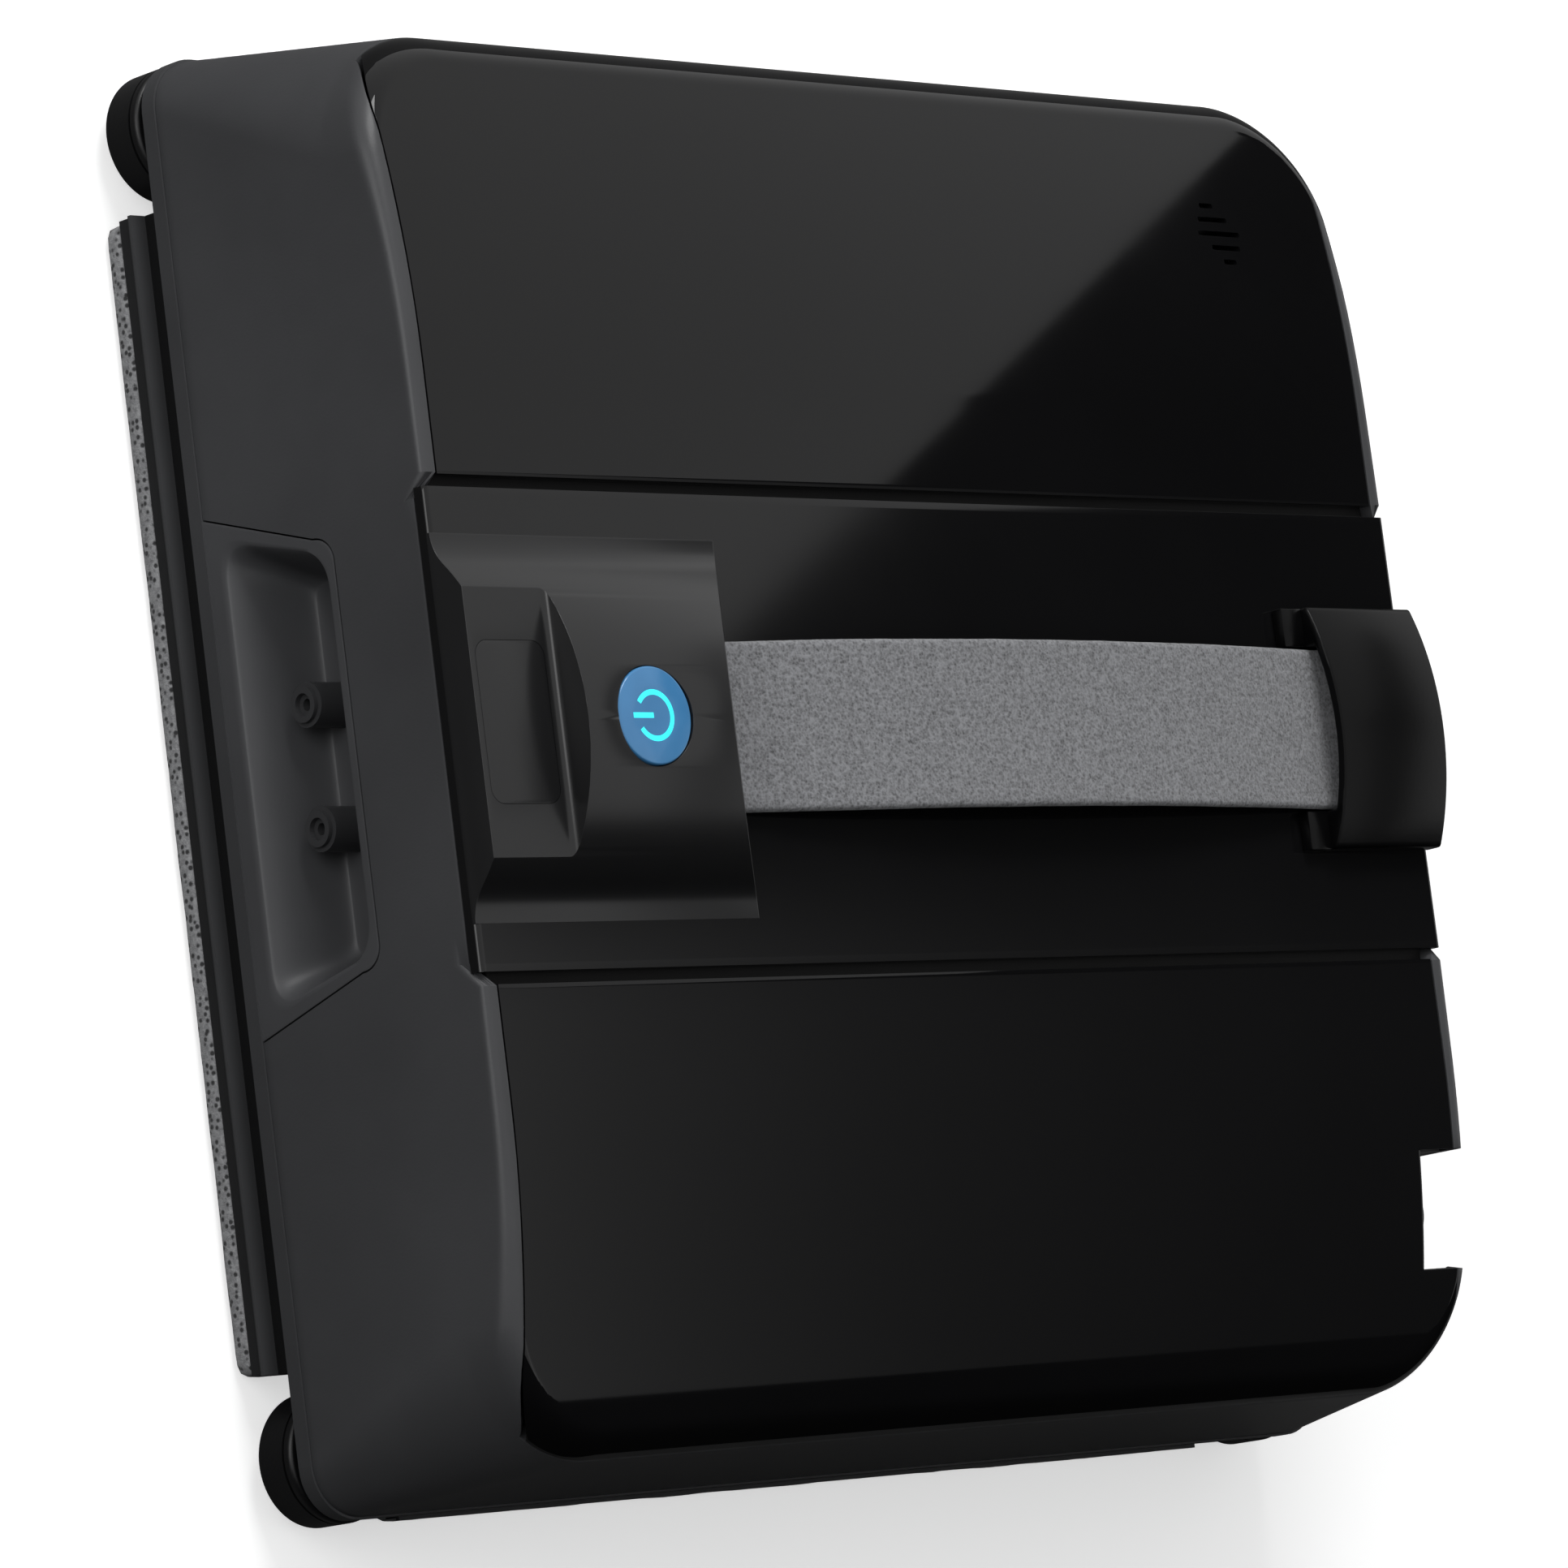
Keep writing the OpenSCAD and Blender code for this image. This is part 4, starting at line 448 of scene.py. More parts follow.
def resample(line, at):
    """Points of a line at given distances along it."""
    run = run_along(line)
    return np.stack([np.interp(at, run, line[:, k]) for k in range(3)], -1)


# Mesh helpers
def edit(obj, change):
    """Runs a change on an object's mesh and writes it back."""
    bm = bmesh.new()
    bm.from_mesh(obj.data)
    change(bm)
    bm.to_mesh(obj.data)
    bm.free()


def grid_mesh(name, pts, closed_u=False):
    """A quad mesh from points (nu, nv, 3) in mm."""
    nu, nv = pts.shape[:2]
    verts = [tuple(v * MM) for v in pts.reshape(-1, 3)]
    faces = []
    for i in range(nu if closed_u else nu - 1):
        j = (i + 1) % nu
        faces += [(i * nv + k, j * nv + k, j * nv + k + 1, i * nv + k + 1) for k in range(nv - 1)]
    me = bpy.data.meshes.new(name)
    me.from_pydata(verts, [], faces)
    me.update()
    return place(name, me)


def outward(obj, inside=(0, 0, 30)):
    """Turns the faces so that they look away from a point inside."""
    c = Vector(inside) * MM

    def turn(bm):
        score = sum((f.calc_center_median() - c).dot(f.normal) * f.calc_area() for f in bm.faces)
        if score < 0:
            bmesh.ops.reverse_faces(bm, faces=bm.faces[:])
    edit(obj, turn)


def cut_notch(obj, z0):
    """Cuts the cable notch out of an open sheet, above z0."""
    y0, y1 = NOTCH_Y
    margin = 8
    planes = (((NOTCH_X, 0, 0), (1, 0, 0)), ((0, y0, 0), (0, 1, 0)), ((0, y1, 0), (0, 1, 0)),
              ((0, 0, z0), (0, 0, 1)))

    def is_near(face):
        c = face.calc_center_median() / MM
        return c.x > NOTCH_X - margin and y0 - margin < c.y < y1 + margin

    def is_gone(face):
        c = face.calc_center_median() / MM
        return c.x > NOTCH_X and y0 < c.y < y1 and c.z > z0

    def cut(bm):
        for point, normal in planes:
            near = [f for f in bm.faces if is_near(f)]
            geom = near + list({e for f in near for e in f.edges}) + list({v for f in near for v in f.verts})
            bmesh.ops.bisect_plane(bm, geom=geom, dist=1e-7, plane_co=Vector(point) * MM, plane_no=normal)
        bmesh.ops.delete(bm, geom=[f for f in bm.faces if is_gone(f)], context="FACES")
    edit(obj, cut)


def apply_mods(obj):
    dg = bpy.context.evaluated_depsgraph_get()
    me = bpy.data.meshes.new_from_object(obj.evaluated_get(dg))
    obj.modifiers.clear()
    old = obj.data
    obj.data = me
    bpy.data.meshes.remove(old)


def add_bevel(obj, width, segments, angle):
    m = obj.modifiers.new("edge", "BEVEL")
    m.width = width * MM
    m.segments = segments
    m.limit_method = "ANGLE"
    m.angle_limit = math.radians(angle)


def bevel(obj, width, segments=3, angle=28):
    add_bevel(obj, width, segments, angle)
    apply_mods(obj)


def solidify(obj, thick, edge=0.35, segments=3, angle=50):
    """Gives a sheet its thickness, inward, and softens its edges."""
    m = obj.modifiers.new("thick", "SOLIDIFY")
    m.thickness = thick * MM
    m.offset = -1
    m.use_even_offset = True
    add_bevel(obj, edge, segments, angle)
    apply_mods(obj)


def smooth(obj, angle=35):
    me = obj.data
    for p in me.polygons:
        p.use_smooth = True
    me.set_sharp_from_angle(angle=math.radians(angle))


def prism(name, poly, a, b, plane="xy"):
    """A straight prism: poly in the given plane, from a to b across it. Sizes in mm."""
    axes = {"xy": (0, 1, 2), "yz": (1, 2, 0), "xz": (0, 2, 1)}[plane]
    verts, n = [], len(poly)
    for t in (a, b):
        for p in poly:
            v = [0, 0, 0]
            v[axes[0]], v[axes[1]], v[axes[2]] = p[0] * MM, p[1] * MM, t * MM
            verts.append(v)
    faces = [tuple(range(n)), tuple(range(2 * n - 1, n - 1, -1))]
    faces += [(i, i + n, (i + 1) % n + n, (i + 1) % n) for i in range(n)]
    me = bpy.data.meshes.new(name)
    me.from_pydata(verts, [], faces)
    obj = place(name, me)
    edit(obj, lambda bm: bmesh.ops.recalc_face_normals(bm, faces=bm.faces))
    return obj


def box(x0, x1, y0, y1):
    """Corners of a rectangle."""
    return [(x0, y0), (x1, y0), (x1, y1), (x0, y1)]


def arc(centre, r, start, end, n):
    """n + 1 points on an arc, angles in radians."""
    angles = [start + (end - start) * i / n for i in range(n + 1)]
    return [(centre[0] + r * math.cos(a), centre[1] + r * math.sin(a)) for a in angles]


def disc(r, n, centre):
    return arc(centre, r, 0, 2 * math.pi, n)[:-1]


def rounded(w, d, r, n=12, at=(0, 0)):
    """A rectangle with rounded corners."""
    pts = []
    for k, (sx, sy) in enumerate([(1, 1), (-1, 1), (-1, -1), (1, -1)]):
        corner = (at[0] + sx * (w / 2 - r), at[1] + sy * (d / 2 - r))
        pts += arc(corner, r, math.pi / 2 * k, math.pi / 2 * (k + 1), n)
    return pts


def mirrored(pts):
    """The same points on the other side, in reverse order."""
    return [(-p[0], p[1]) for p in pts[::-1]]


def boolean(obj, tools, how="DIFFERENCE"):
    for t in tools:
        m = obj.modifiers.new("cut", "BOOLEAN")
        m.operation = how
        m.object = t
        m.solver = "EXACT"
        apply_mods(obj)
    for t in tools:
        bpy.data.objects.remove(t, do_unlink=True)


def finish(obj, material, body, replaces=None, angle=35):
    obj.data.materials.clear()
    obj.data.materials.append(material)
    smooth(obj, angle)
    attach(obj, body)
    if replaces:
        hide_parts(replaces)


# Face panels: a grid of columns, each running over the face and down over the rolled end
def clip_column(line, y_edge):
    """Ends a panel's column at its outline, seen from above, or at the panel's low end."""
    inside = (line[:, 1] <= y_edge + 1e-6) & (line[:, 2] >= PANEL_END - 1e-6)
    if inside.all():
        return line
    stop = int(np.argmin(inside))
    a, b = line[stop - 1], line[stop]
    shares = []
    if b[1] > y_edge:
        shares.append((y_edge - a[1]) / max(1e-9, b[1] - a[1]))
    if b[2] < PANEL_END:
        shares.append((a[2] - PANEL_END) / max(1e-9, a[2] - b[2]))
    return np.concatenate([line[:max(stop, 3)], [a + (b - a) * min(shares)]])


def panel_column(x):
    """A flat run to where the rays begin to sweep down to the wall, then that sweep."""
    sweep_from = 70
    over = max(0.0, abs(x) - PANEL_CX)
    y_edge = PANEL_CY + math.sqrt(max(0.0, PANEL_R ** 2 - over ** 2))
    ys = np.linspace(PANEL_NEAR, sweep_from, 260)
    flat = march(np.stack([np.full_like(ys, x), ys, np.full_like(ys, 40.0)], -1), UP, 60)
    ang = np.linspace(math.pi / 2, 0.02, 900)[1:]
    rays = np.stack([np.zeros_like(ang), np.cos(ang), np.sin(ang)], -1)
    rolled = march(np.tile([x, sweep_from, 48.0], (len(ang), 1)), rays, 80)
    part = clip_column(np.concatenate([flat, rolled]), y_edge)
    # closer rows where the end curls over
    u = np.linspace(0, 1, 96)
    w = u + 0.12 * np.sin(math.pi * u) * u
    return resample(part, w / w[-1] * run_along(part)[-1])


def panel_points():
    right = PANEL_CX + PANEL_R * np.sin(np.linspace(0, math.pi / 2, 26))
    mid = np.linspace(-PANEL_CX, PANEL_CX, 60)[1:-1]
    return np.array([panel_column(x) for x in np.concatenate([-right[::-1], mid, right])])


def face_panels():
    pts = panel_points()
    upper = grid_mesh("gloss_upper_panel", pts)
    outward(upper, (0, 78, 20))
    solidify(upper, PANEL_T, edge=0.4)
    lower = grid_mesh("gloss_lower_panel", pts * np.array([1, -1, 1]))
    outward(lower, (0, -78, 20))
    cut_notch(lower, 0.0)
    solidify(lower, PANEL_T, edge=0.4)
    return upper, lower


def speaker_slots():
    """Five slots whose lengths fill a diamond."""
    pitch, width, middle = 2.6, 0.9, 89.5
    slots = [(81.95, 3.4), (82.65, 7.4), (83.5, 10.6), (84.5, 7.2), (84.75, 3.2)]
    return [prism("slot", rounded(length, width, 0.3, 4, (x, middle + (2 - i) * pitch)), 50, 70)
            for i, (x, length) in enumerate(slots)]


upper, lower = face_panels()
boolean(upper, speaker_slots())
finish(upper, GLOSS, "base", "upper_panel")
finish(lower, GLOSS, "base", "lower_panel")


# Side shell: rays from a square core sweep from the rim to the face
def shell_starts():
    """Start points on the core with the outward direction at each."""
    step = 0.02
    marks = np.array([-GROOVE_HALF, step - GROOVE_HALF, GROOVE_HALF - step, GROOVE_HALF])
    sweep = np.unique(np.concatenate([np.linspace(-CORE, CORE, 44), marks]))
    corners = [(1, 1), (-1, 1), (-1, -1), (1, -1)]
    starts = []
    for k, (c, s) in enumerate([(1, 0), (0, 1), (-1, 0), (0, -1)]):
        starts += [(c * CORE - s * y, s * CORE + c * y, c, s) for y in sweep[:-1]]
        px, py = CORE * corners[k][0], CORE * corners[k][1]
        fan = [math.pi / 2 * (k + i / 40) for i in range(40)]
        starts += [(px, py, math.cos(a), math.sin(a)) for a in fan]
    return starts


def under_face_parts(line):
    """Which points of a line lie under a face panel or under the centre band."""
    x, y, z = np.abs(line[:, 0]), np.abs(line[:, 1]), line[:, 2]
    corner = np.hypot(np.maximum(x - PANEL_CX, 0), np.maximum(y - PANEL_CY, 0))
    plan = (x < PANEL_HALF + SEAM) & (y > PANEL_NEAR - SEAM) & (corner < PANEL_R + SEAM)
    return (plan & (z > PANEL_END - SEAM)) | ((y < TROUGH_HALF) & (z > TROUGH_Z))


def shell_column(bx, by, nx, ny):
    """Up the wall, over its rounded top and in over the face, to the first seam."""
    turn_z, off = 44.0, 14.0
    zs = np.linspace(BASE_Z, turn_z, 160)
    wall = march(np.stack([np.full_like(zs, bx), np.full_like(zs, by), zs], -1), np.array([nx, ny, 0.0]), 60)
    ang = np.linspace(0, math.pi / 2, 500)[1:]
    rays = np.stack([np.cos(ang) * nx, np.cos(ang) * ny, np.sin(ang)], -1)
    over = march(np.tile([bx + off * nx, by + off * ny, turn_z], (len(ang), 1)), rays, 60)
    w = np.linspace(off, 0, 120)[1:]
    top = march(np.stack([bx + w * nx, by + w * ny, np.full_like(w, turn_z)], -1), UP, 60)
    line = np.concatenate([wall, over, top])
    hit = under_face_parts(line)
    part = line[:int(np.argmax(hit))] if hit.any() else line
    return resample(part, np.linspace(0, 1, 70) ** 0.8 * run_along(part)[-1])


def bay_hole():
    """Outline of the bay's hole in the left wall: y and z."""
    foot_y, foot_z = BAY_HOLE_FOOT
    right = [(foot_y, 10), (foot_y, foot_z)] + arc(BAY_TURN, BAY_R, 0, math.pi / 2, 12)
    return [(-foot_y, 10)] + right + mirrored(right[1:])


shell = grid_mesh("satin_side_shell", np.array([shell_column(*s) for s in shell_starts()]), closed_u=True)
outward(shell)
cut_notch(shell, 45.0)
solidify(shell, thick=2.6, edge=0.3, segments=2, angle=60)
boolean(shell, [prism("bay", bay_hole(), -140, -100, "yz"),
                prism("grille", box(21.25, 38.75, 15.65, 29.45), 100, 140, "yz")])
finish(shell, SHELL, "base", "side_shell", 40)
for side_name, s in (("a", -1), ("b", 1)):
    y0, y1 = sorted(s * y for y in GROOVE_FLOOR_Y)
    rail = prism("groove_floor_" + side_name, box(-GROOVE_FLOOR_X, GROOVE_FLOOR_X, y0, y1), *GROOVE_FLOOR_Z)
    bevel(rail, width=0.2, segments=1, angle=30)
    finish(rail, GROOVE, "base", "side_shell", 30)


# Nozzle bay, in one moulding with the rim below it: rings run from its seam over a soft lip to the flat back
def soft_corner(before, corner, after, r, n):
    """A corner softened by a curve that touches both its edges at r."""
    before, corner, after = (np.array(p, float) for p in (before, corner, after))
    a = corner + (before - corner) / np.linalg.norm(before - corner) * r
    c = corner + (after - corner) / np.linalg.norm(after - corner) * r
    return np.array([a * (1 - t) ** 2 + 2 * corner * t * (1 - t) + c * t ** 2 for t in np.linspace(0, 1, n)])


def loop_through(corners, per_edge):
    """A closed line through softened corners, with points along its straight edges."""
    pts = []
    for i, corner in enumerate(corners):
        a, b = corner[-1], corners[(i + 1) % len(corners)][0]
        pts += list(corner) + [a + (b - a) * t for t in np.linspace(0, 1, per_edge + 2)[1:-1]]
    return np.array(pts)


def bay_loop(foot, low, head, high, r_low, r_high, turn=None):
    """A soft-cornered loop of the bay in y and z; turn gives its upper right corner as an arc."""
    outline = [(foot, low), (head, high), (-head, high), (-foot, low)]
    corners = [soft_corner(outline[i - 1], outline[i], outline[(i + 1) % 4], r, 14)
               for i, r in enumerate((r_low, r_high, r_high, r_low))]
    if turn:
        corners[1], corners[2] = np.array(turn), np.array(mirrored(turn))
    return loop_through(corners, 30)


def bay_piece():
    turn = arc(BAY_TURN, BAY_R - BAY_GAP, 0, math.pi / 2, 13)
    seam = bay_loop(foot=43.3, low=12.95, head=34.75, high=42.85, r_low=0.5, r_high=4, turn=turn)
    mouth = bay_loop(foot=38.4, low=19.4, head=32.4, high=41.4, r_low=6.5, r_high=6.0)
    back = bay_loop(foot=31.0, low=25.5, head=27.5, high=40.9, r_low=4.0, r_high=3.0)
    proud = 0.03
    rings = []
    for t in np.linspace(0, 1, 6)[:-1]:
        p = seam + (mouth - seam) * t
        rings.append(np.stack([-(half_at(p[:, 1]) + proud), p[:, 0], p[:, 1]], -1))
    wall = -(half_at(mouth[:, 1]) + proud)
    for t in np.linspace(0, 1, 26):
        p = mouth + (back - mouth) * t
        depth = 0.35 * t + 0.65 * t * t * (3 - 2 * t)
        rings.append(np.stack([wall + (BAY_BACK_X - wall) * depth, p[:, 0], p[:, 1]], -1))
    centre = rings[-1].mean(axis=0)
    for share in (0.5, 0.04):
        rings.append(centre + (rings[-1] - centre) * share)
    obj = grid_mesh("satin_nozzle_bay", np.array(rings).transpose(1, 0, 2), closed_u=True)

    middle = Vector(centre) * MM

    def close(bm):
        border = [e for e in bm.edges if e.is_boundary]
        inner = [e for e in border if (e.verts[0].co - middle).length < 4 * MM]
        bmesh.ops.holes_fill(bm, edges=inner, sides=0)
        bmesh.ops.recalc_face_normals(bm, faces=bm.faces)
        if sum(f.normal.x * f.calc_area() for f in bm.faces) > 0:
            bmesh.ops.reverse_faces(bm, faces=bm.faces[:])
    edit(obj, close)
    solidify(obj, thick=1.1, edge=0.12, segments=2, angle=60)
    return obj


bay_obj = bay_piece()
finish(bay_obj, BAYWALL, "base", "nozzle_bay", 50)


# Centre band between the grooves
def band_row(y):
    """One row along the body: up round its left end, over the face and down round its right end."""
    end_x, end_z = 111.0, 60.0
    ang = np.linspace(math.atan2(1.4, half_at(end_z + 1.4) - end_x), math.pi / 2, 160)
    ends = []
    for s in (-1, 1):
        rays = np.stack([np.cos(ang) * s, np.zeros_like(ang), np.sin(ang)], -1)
        ends.append(march(np.tile([s * end_x, y, end_z], (len(ang), 1)), rays, 60))
    mid = np.linspace(-110.5, 110.5, 40)
    top = march(np.stack([mid, np.full_like(mid, y), np.full_like(mid, 50.0)], -1), UP, 40)
    full = np.concatenate([ends[0], top, ends[1][::-1]])
    length, fine = run_along(full)[-1], 4.5
    at = [np.linspace(0, fine, 20), np.linspace(fine, length - fine, 60)[1:-1],
          np.linspace(length - fine, length, 20)]
    return resample(full, np.concatenate(at))


def band_piece():
    ys = np.concatenate([np.linspace(-BAND_HALF, -20, 16), np.linspace(-20, 20, 12)[1:-1],
                         np.linspace(20, BAND_HALF, 16)])
    obj = grid_mesh("gloss_centre_band", np.array([band_row(y) for y in ys]))
    outward(obj)
    solidify(obj, thick=2.0, angle=60)
    return obj


# Console: an arch on coved feet, cut to its side outline
CONSOLE_TOP = 75.6
CONSOLE_R = 38.5
CONSOLE_BASE = 62.4
COVE = 8.0
LEDGE_Z = 69.0
LEDGE_X = -96.2
LEDGE_R = 1.3
NOSE_X = -52.5
BUTTON_AT = (-81.5, 0)
BUTTON_R = 8.0
BUTTON_GAP = 0.15
BUTTON_Z = (71.9, 75.3)
CAP_AT = (-105.24, 0)
CAP_SEAT = (14.8, 26.2, 2.6)
CAP_GAP = 0.07
STRAP_SLOT_X = (-63, -45)
STRAP_SLOT_Z = (63.72, 66.4)
STRAP_GAP = 14.55


def console_profile():
    """Across the body, y and z."""
    mid_z = CONSOLE_TOP - CONSOLE_R
    rise = FACE_Z + COVE - mid_z
    foot_y = math.sqrt((CONSOLE_R + COVE) ** 2 - rise ** 2)
    meet = math.atan2(rise, foot_y)
    arch = arc((0, mid_z), CONSOLE_R, meet, math.pi - meet, 60)
    cove = arc((foot_y, FACE_Z + 0.03 + COVE), COVE, meet - math.pi, -math.pi / 2, 16)[1:]
    right = [(foot_y, CONSOLE_BASE)] + cove[::-1]
    return right + arch + mirrored(right)


def console_side():
    """Along the body, x and z: wall, ledge, back of the console and its sloping nose."""
    over = 77
    wall = [(-half_at(z) + 0.02, z) for z in (CONSOLE_BASE, LEDGE_Z)]
    turn = arc((LEDGE_X - LEDGE_R, LEDGE_Z + LEDGE_R), LEDGE_R, -math.pi / 2, 0, 6)
    nose = [(NOSE_X - (z - FACE_Z), z) for z in (over, CONSOLE_BASE)]
    return wall + turn + [(LEDGE_X, over)] + nose


def console_piece():
    obj = prism("gloss_console", console_profile(), -125, -40, "yz")
    boolean(obj, [prism("side", console_side(), -60, 60, "xz")], "INTERSECT")
    boolean(obj, [prism("strap_slot", box(*STRAP_SLOT_X, *STRAP_SLOT_Z), -STRAP_GAP, STRAP_GAP, "xz"),
                  prism("button_hole", disc(BUTTON_R + BUTTON_GAP, 96, BUTTON_AT), 60, 90)])
    edit(obj, lambda bm: bmesh.ops.dissolve_limit(
        bm, angle_limit=math.radians(0.5), verts=bm.verts, edges=bm.edges))
    bevel(obj, width=0.32, angle=24)
    boolean(obj, [prism("cap_seat", rounded(*CAP_SEAT, n=8, at=CAP_AT), 67.6, 80)])
    return obj


band = band_piece()
arch = console_piece()
finish(band, BAND, "base", "centre_panel")
finish(arch, CONSOLE, "base", "centre_panel", 30)


# Clip: the arched block with its two low strips
CLIP_HALF = 21.4
CLIP_RISE = 4.8
CLIP_TOP = 72.1
CLIP_BASE = 63.66
CLIP_WALL = 1.8
CLIP_R = (CLIP_HALF ** 2 + CLIP_RISE ** 2) / (2 * CLIP_RISE)


def clip_arch(half, r, base, n):
    """A low arch across the body, y and z, on a straight base."""
    a = math.asin(half / r)
    over = arc((0, CLIP_TOP - CLIP_R), r, math.pi / 2 - a, math.pi / 2 + a, n)
    return [(-half, base), (half, base)] + over


def clip_pieces():
    block = prism("satin_clip", clip_arch(CLIP_HALF, CLIP_R, CLIP_BASE, 40), 86.3, 130, "yz")
    side = [(60, 63), (half_at(63), 63), (half_at(74), 74), (60, 74)]
    boolean(block, [prism("side", side, -40, 40, "xz")], "INTERSECT")
    boolean(block, [prism("hollow", clip_arch(STRAP_GAP, CLIP_R - CLIP_WALL, 60, 24), 80, 106, "yz")])
    bevel(block, width=0.5)
    pieces = [block]
    for side_name, s in (("a", -1), ("b", 1)):
        y0, y1 = sorted((s * STRAP_GAP, s * CLIP_HALF))
        strip = prism("satin_clip_strip_" + side_name, box(81.2, 86.6, y0, y1), CLIP_BASE, 66.0)
        bevel(strip, width=0.35, segments=2)
        pieces.append(strip)
    return pieces


for piece in clip_pieces():
    finish(piece, CLIP, "base", "strap_clip", 30)


# Button with a softened edge and the icon let into it
def icon_ring():
    """An open ring, its gap toward the left end."""
    gap = math.radians(146)
    return arc(BUTTON_AT, 4.2, -gap, gap, 59) + arc(BUTTON_AT, 3.3, gap, -gap, 59)


def button_piece():
    floor_z, over = 75.0, 80
    x = BUTTON_AT[0]
    obj = prism("blue_button", disc(BUTTON_R, 128, BUTTON_AT), *BUTTON_Z)
    bevel(obj, width=0.4, angle=30)
    boolean(obj, [prism("ring", icon_ring(), floor_z, over),
                  prism("bar", box(x - 4.65, x - 0.25, -0.45, 0.45), floor_z, over)])
    return obj


button = button_piece()
finish(button, BUTTON, "button", "power_button", 30)
cap_x, cap_y, cap_r = CAP_SEAT
cap_outline = rounded(cap_x - 2 * CAP_GAP, cap_y - 2 * CAP_GAP, cap_r - CAP_GAP, n=8, at=CAP_AT)
cap = prism("gloss_filler_cap", cap_outline, 67.75, LEDGE_Z)
bevel(cap, width=0.06, segments=2, angle=30)
finish(cap, CONSOLE, "cap", "filler_cap", 30)


# Strap: a woven band with rounded, slightly uneven long edges
STRAP_W = 28.4
STRAP_T = 2.0
STRAP_X = (-53.5, 87.3)
STRAP_BOW = 5.4
STRAP_ENDS = (-66.5, 95.5)
STRAP_Z = 64.05


def strap_path():
    """The band's middle line, x and z: flat ends under the console and the clip, bowed up between them."""
    x0, x1 = STRAP_X
    mid, half = (x0 + x1) / 2, (x1 - x0) / 2
    r = (half ** 2 + STRAP_BOW ** 2) / (2 * STRAP_BOW)
    low = STRAP_Z + STRAP_BOW - r
    path = [(x, STRAP_Z) for x in np.linspace(STRAP_ENDS[0], x0 - 0.5, 14)]
    path += [(x, low + math.sqrt(r ** 2 - (x - mid) ** 2)) for x in np.linspace(x0, x1, 150)]
    path += [(x, STRAP_Z) for x in np.linspace(x1 + 0.5, STRAP_ENDS[1], 10)]
    path = np.array(path)
    for _ in range(6):
        path[1:-1, 1] = (path[:-2, 1] + 2 * path[1:-1, 1] + path[2:, 1]) / 4
    return path


def strap_section():
    """Across the band: half-round edges joined by two straight faces."""
    flat, r = STRAP_W / 2 - STRAP_T / 2, STRAP_T / 2
    section = []
    for side in (1, -1):
        a = -math.pi / 2 * side
        section += arc((side * flat, 0), r, a, a + math.pi, 10)
        section += [(y, side * r) for y in np.linspace(side * flat, -side * flat, 60)[1:-1]]
    return np.array(section)


def strap_piece():
    path, section = strap_path(), strap_section()
    pts = np.zeros((len(path), len(section), 3))
    tangent = np.gradient(path, axis=0)
    tangent /= np.linalg.norm(tangent, axis=1)[:, None]
    uneven = np.convolve(rng.normal(0, 1, len(path) + 20), np.ones(21) / 21, "valid") * 0.35
    sag = -0.25 * (1 - (section[:, 0] / (STRAP_W / 2)) ** 2)
    for i, (x, z) in enumerate(path):
        nx, nz = -tangent[i, 1], tangent[i, 0]
        h = section[:, 1] + STRAP_T / 2 + sag * math.sin(math.pi * i / (len(path) - 1))
        pts[i, :, 0] = x + nx * h
        pts[i, :, 1] = section[:, 0] * (1 + uneven[i] / STRAP_W)
        pts[i, :, 2] = z + nz * h
    obj = grid_mesh("woven_strap", np.concatenate([pts, pts[:, :1]], 1))

    def close(bm):
        bmesh.ops.remove_doubles(bm, verts=bm.verts, dist=1e-6)
        bmesh.ops.holes_fill(bm, edges=[e for e in bm.edges if e.is_boundary], sides=0)
        bmesh.ops.recalc_face_normals(bm, faces=bm.faces)
    edit(obj, close)
    return obj


strap = strap_piece()
finish(strap, STRAP, "base", "handle_strap", 60)


# Cleaning pad: a fabric ring with a soft edge, and the slab inside it
PAD_HALF = 119.9
PAD_NOTCH = 25.0
SLAB_HALF = 116.5
SLAB_T = 3.74
PAD_HOLE = (172, 172, 14)


def notched_square(h, notch):
    """A square with a square notch at each corner."""
    c = h - notch
    return [(h, -c), (h, c), (c, c), (c, h), (-c, h), (-c, c),
            (-h, c), (-h, -c), (-c, -c), (-c, -h), (c, -h), (c, -c)]


def pad_outline():
    """The pad's outline in 2 mm steps, its corners softened."""
    pts = notched_square(PAD_HALF, PAD_NOTCH)
    dense = []
    for i in range(len(pts)):
        a, b = np.array(pts[i]), np.array(pts[(i + 1) % len(pts)])
        n = max(2, int(np.linalg.norm(b - a) / 2.0))
        dense += [tuple(a + (b - a) * k / n) for k in range(n)]
    dense = np.array(dense)
    for _ in range(2):
        dense = (np.roll(dense, 1, 0) + 2 * dense + np.roll(dense, -1, 0)) / 4
    return dense


def pad_piece():
    """Rows round the pad: each an offset outward and a height. All but the first and last ripple."""
    steps = [(-6, 0.0), (-1.2, 0.0), (-0.45, 0.18), (-0.1, 0.6), (0, 1.1), (0, 2.6), (-0.1, 3.2),
             (-0.45, 3.6), (-1.2, 3.76), (-6, 3.76)]
    line = pad_outline()
    n = len(line)
    along = np.roll(line, -1, 0) - np.roll(line, 1, 0)
    out = np.stack([along[:, 1], -along[:, 0]], -1)
    out /= np.linalg.norm(out, axis=1)[:, None]
    ripple = np.convolve(np.tile(rng.normal(0, 1, n), 3), np.ones(5) / 5, "same")[n:2 * n]
    rows = []
    for k, (off, z) in enumerate(steps):
        p = line + out * off
        if 0 < k < len(steps) - 1:
            p = p + out * (ripple * 0.12 - 0.1)[:, None]
        rows.append(np.concatenate([p, np.full((n, 1), z)], 1))
    obj = grid_mesh("microfibre_pad_edge", np.array(rows).transpose(1, 0, 2), closed_u=True)
    outward(obj, (0, 0, 2))
    return obj


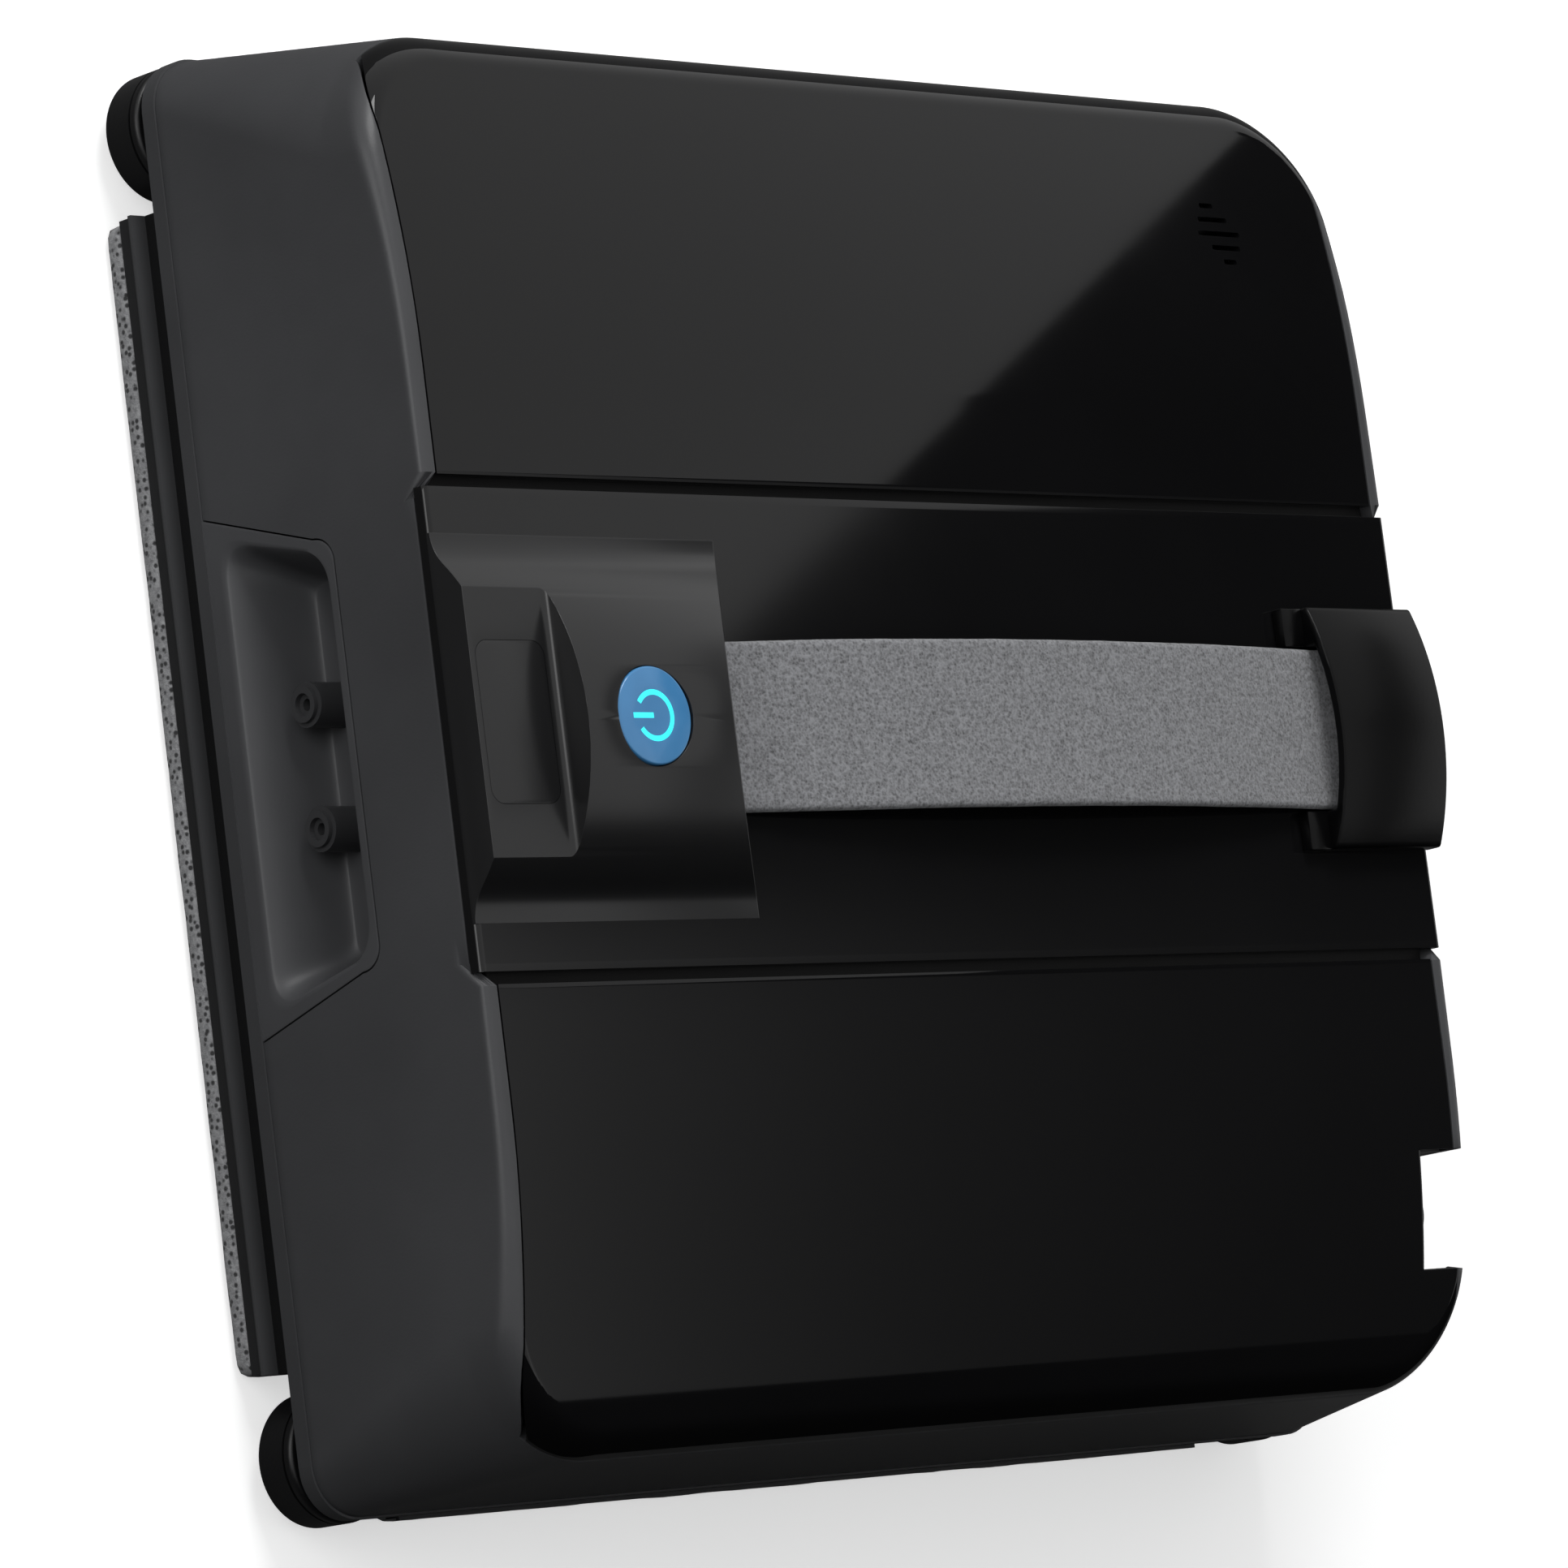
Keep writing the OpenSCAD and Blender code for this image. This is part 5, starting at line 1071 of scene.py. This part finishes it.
pad_edge = pad_piece()
slab_outer = prism("microfibre_pad", notched_square(SLAB_HALF, PAD_NOTCH), 0.0, SLAB_T)
boolean(slab_outer, [prism("hole", rounded(*PAD_HOLE, n=10), -5, 10)])
bevel(slab_outer, width=0.5, segments=2, angle=40)
finish(pad_edge, EDGE, "base", "cleaning_pad", 60)
finish(slab_outer, PAD, "base", "cleaning_pad", 40)


# Floor, backdrop and light
def grey(v):
    return (v, v, v)


def floor_pale():
    """Pale to the camera and dimmer to other rays, so that little light comes back up from it."""
    m, nt, b = new_mat("floor_pale")
    vec = coords(nt)
    pale = shade(nt, noise(nt, vec, 3, 3), grey(0.86), grey(0.88))
    dim = shade(nt, noise(nt, vec, 3, 3), grey(0.13), grey(0.15))
    b.inputs["Roughness"].default_value = 0.9
    b.inputs["Specular IOR Level"].default_value = 0.1
    seen = nt.nodes.new("ShaderNodeLightPath").outputs["Is Camera Ray"]
    b.inputs["Emission Color"].default_value = (1, 1, 1, 1)
    nt.links.new(math_node(nt, "MULTIPLY", seen, 0.58), b.inputs["Emission Strength"])
    nt.links.new(mix_colors(nt, dim, pale, seen, "MIX"), b.inputs["Base Color"])
    return m


def studio_world():
    """White to the camera, to reflections and through clear pieces, and dimmer as a light."""
    world = bpy.data.worlds.new("studio")
    bpy.context.scene.world = world
    world.use_nodes = True
    nt = world.node_tree
    dim = nt.nodes["Background"]
    white = nt.nodes.new("ShaderNodeBackground")
    for node, strength in ((dim, 0.44), (white, 1.0)):
        node.inputs["Color"].default_value = (1, 1, 1, 1)
        node.inputs["Strength"].default_value = strength
    ray = nt.nodes.new("ShaderNodeLightPath").outputs
    direct = math_node(nt, "MAXIMUM", ray["Is Camera Ray"], ray["Is Glossy Ray"])
    direct = math_node(nt, "MAXIMUM", direct, ray["Is Transmission Ray"])
    mix = nt.nodes.new("ShaderNodeMixShader")
    nt.links.new(direct, mix.inputs["Fac"])
    nt.links.new(dim.outputs[0], mix.inputs[1])
    nt.links.new(white.outputs[0], mix.inputs[2])
    nt.links.new(mix.outputs[0], nt.nodes["World Output"].inputs["Surface"])


def area_light(name, loc, size, power, size_y=None):
    """A soft lamp that looks at the body's middle."""
    data = bpy.data.lights.new(name, "AREA")
    data.size = size
    if size_y:
        data.shape = "RECTANGLE"
        data.size_y = size_y
    data.energy = power
    obj = place(name, data)
    obj.location = loc
    obj.rotation_euler = (Vector((0, 0, 0.03)) - Vector(loc)).to_track_quat("-Z", "Y").to_euler()


bpy.ops.mesh.primitive_plane_add(size=16, location=(0, 0, -0.0006))
floor = bpy.context.object
floor.name = "floor"
floor.data.materials.append(floor_pale())
studio_world()
area_light("key_top", (-0.25, 1.55, 1.35), 0.9, 19, 0.6)
area_light("fill_left", (-1.7, 0.5, 1.0), 1.0, 10)


# Cards that the gloss face reflects, hidden from the camera
DIAGONAL_TOP_PX = Vector((1538.0, 157.0))
DIAGONAL_END_PX = Vector((330.0, 1350.0))
CARD_WIDTH_PX = 1500.0
CARD_AWAY = 3.0
GLOW = 1.35
GLOW_X_PX = 380.0
GLOW_FADE_PX = 400.0
GLOW_Y_PX = 1000.0
GLOW_RISE_PX = 260.0


def image_ray(px, py):
    """Direction of the camera's ray at a point of the picture."""
    right, down = px - PICTURE_MID, py - PICTURE_MID
    return (cam_right * right - cam_up * down - cam_back * FOCAL_PX).normalized()


def mirror_point(px, py, away):
    """Where the camera's ray at a picture point is after one reflection in the face or its carried-on ends."""
    face_end = 112.0
    ray, start = image_ray(px, py), cam_at / MM
    t = (start.z - FACE_Z) / -ray.z
    for _ in range(40):
        y = min(face_end, max(-face_end, (start + ray * t).y))
        t += ((start + ray * t).z - float(face_at(y))) / -ray.z
    slope = float(face_slope(abs(y))) * (1 if y > 0 else -1)
    normal = Vector((0, slope, 1)).normalized()
    return (start + ray * t) * MM + (ray - 2 * ray.dot(normal) * normal) * away


def glow_at(q):
    """Light that the card gives: strongest low down at the picture's left, fading to the right."""
    low = min(1.0, max(0.0, (q.y - GLOW_Y_PX) / GLOW_RISE_PX))
    return GLOW * math.exp(-max(0.0, q.x - GLOW_X_PX) / GLOW_FADE_PX) * low * low * (3 - 2 * low)


def diagonal_card():
    """A card whose edge the face shows as a diagonal, with a glow value at each of its points."""
    along = DIAGONAL_END_PX - DIAGONAL_TOP_PX
    across = Vector((-along.y, along.x)).normalized()
    if across.x < 0:
        across = -across
    nu, nv = 90, 60
    edge = [DIAGONAL_TOP_PX + along * (-0.35 + 1.85 * i / (nu - 1)) for i in range(nu)]
    picture = [q + across * (CARD_WIDTH_PX * k / (nv - 1)) for q in edge for k in range(nv)]
    pts = np.array([mirror_point(q.x, q.y, CARD_AWAY) for q in picture]).reshape(nu, nv, 3) / MM
    card = grid_mesh("flag", pts)
    layer = card.data.attributes.new("glow", "FLOAT", "POINT")
    layer.data.foreach_set("value", [glow_at(q) for q in picture])
    return card


def card_dark(name, lo, hi):
    """A matt card without gloss."""
    m, nt, b = new_mat(name)
    nt.links.new(shade(nt, noise(nt, coords(nt), 2, 2), grey(lo), grey(hi)), b.inputs["Base Color"])
    b.inputs["Roughness"].default_value = 1.0
    b.inputs["Specular IOR Level"].default_value = 0.0
    return m


def glowing(mat):
    """Lets a material give light by its mesh's glow values."""
    nt = mat.node_tree
    b = nt.nodes["Principled BSDF"]
    lit = nt.nodes.new("ShaderNodeAttribute")
    lit.attribute_name = "glow"
    b.inputs["Emission Color"].default_value = (1, 1, 1, 1)
    nt.links.new(lit.outputs["Fac"], b.inputs["Emission Strength"])
    return mat


flag = diagonal_card()
flag.data.materials.append(glowing(card_dark("flag_dark", 0.13, 0.14)))
low_card = prism("low_card", box(-700, 900, -227, -225), 0, 350)
low_card.data.materials.append(card_dark("card_dark", 0.012, 0.016))
for card in (flag, low_card):
    card.visible_camera = False
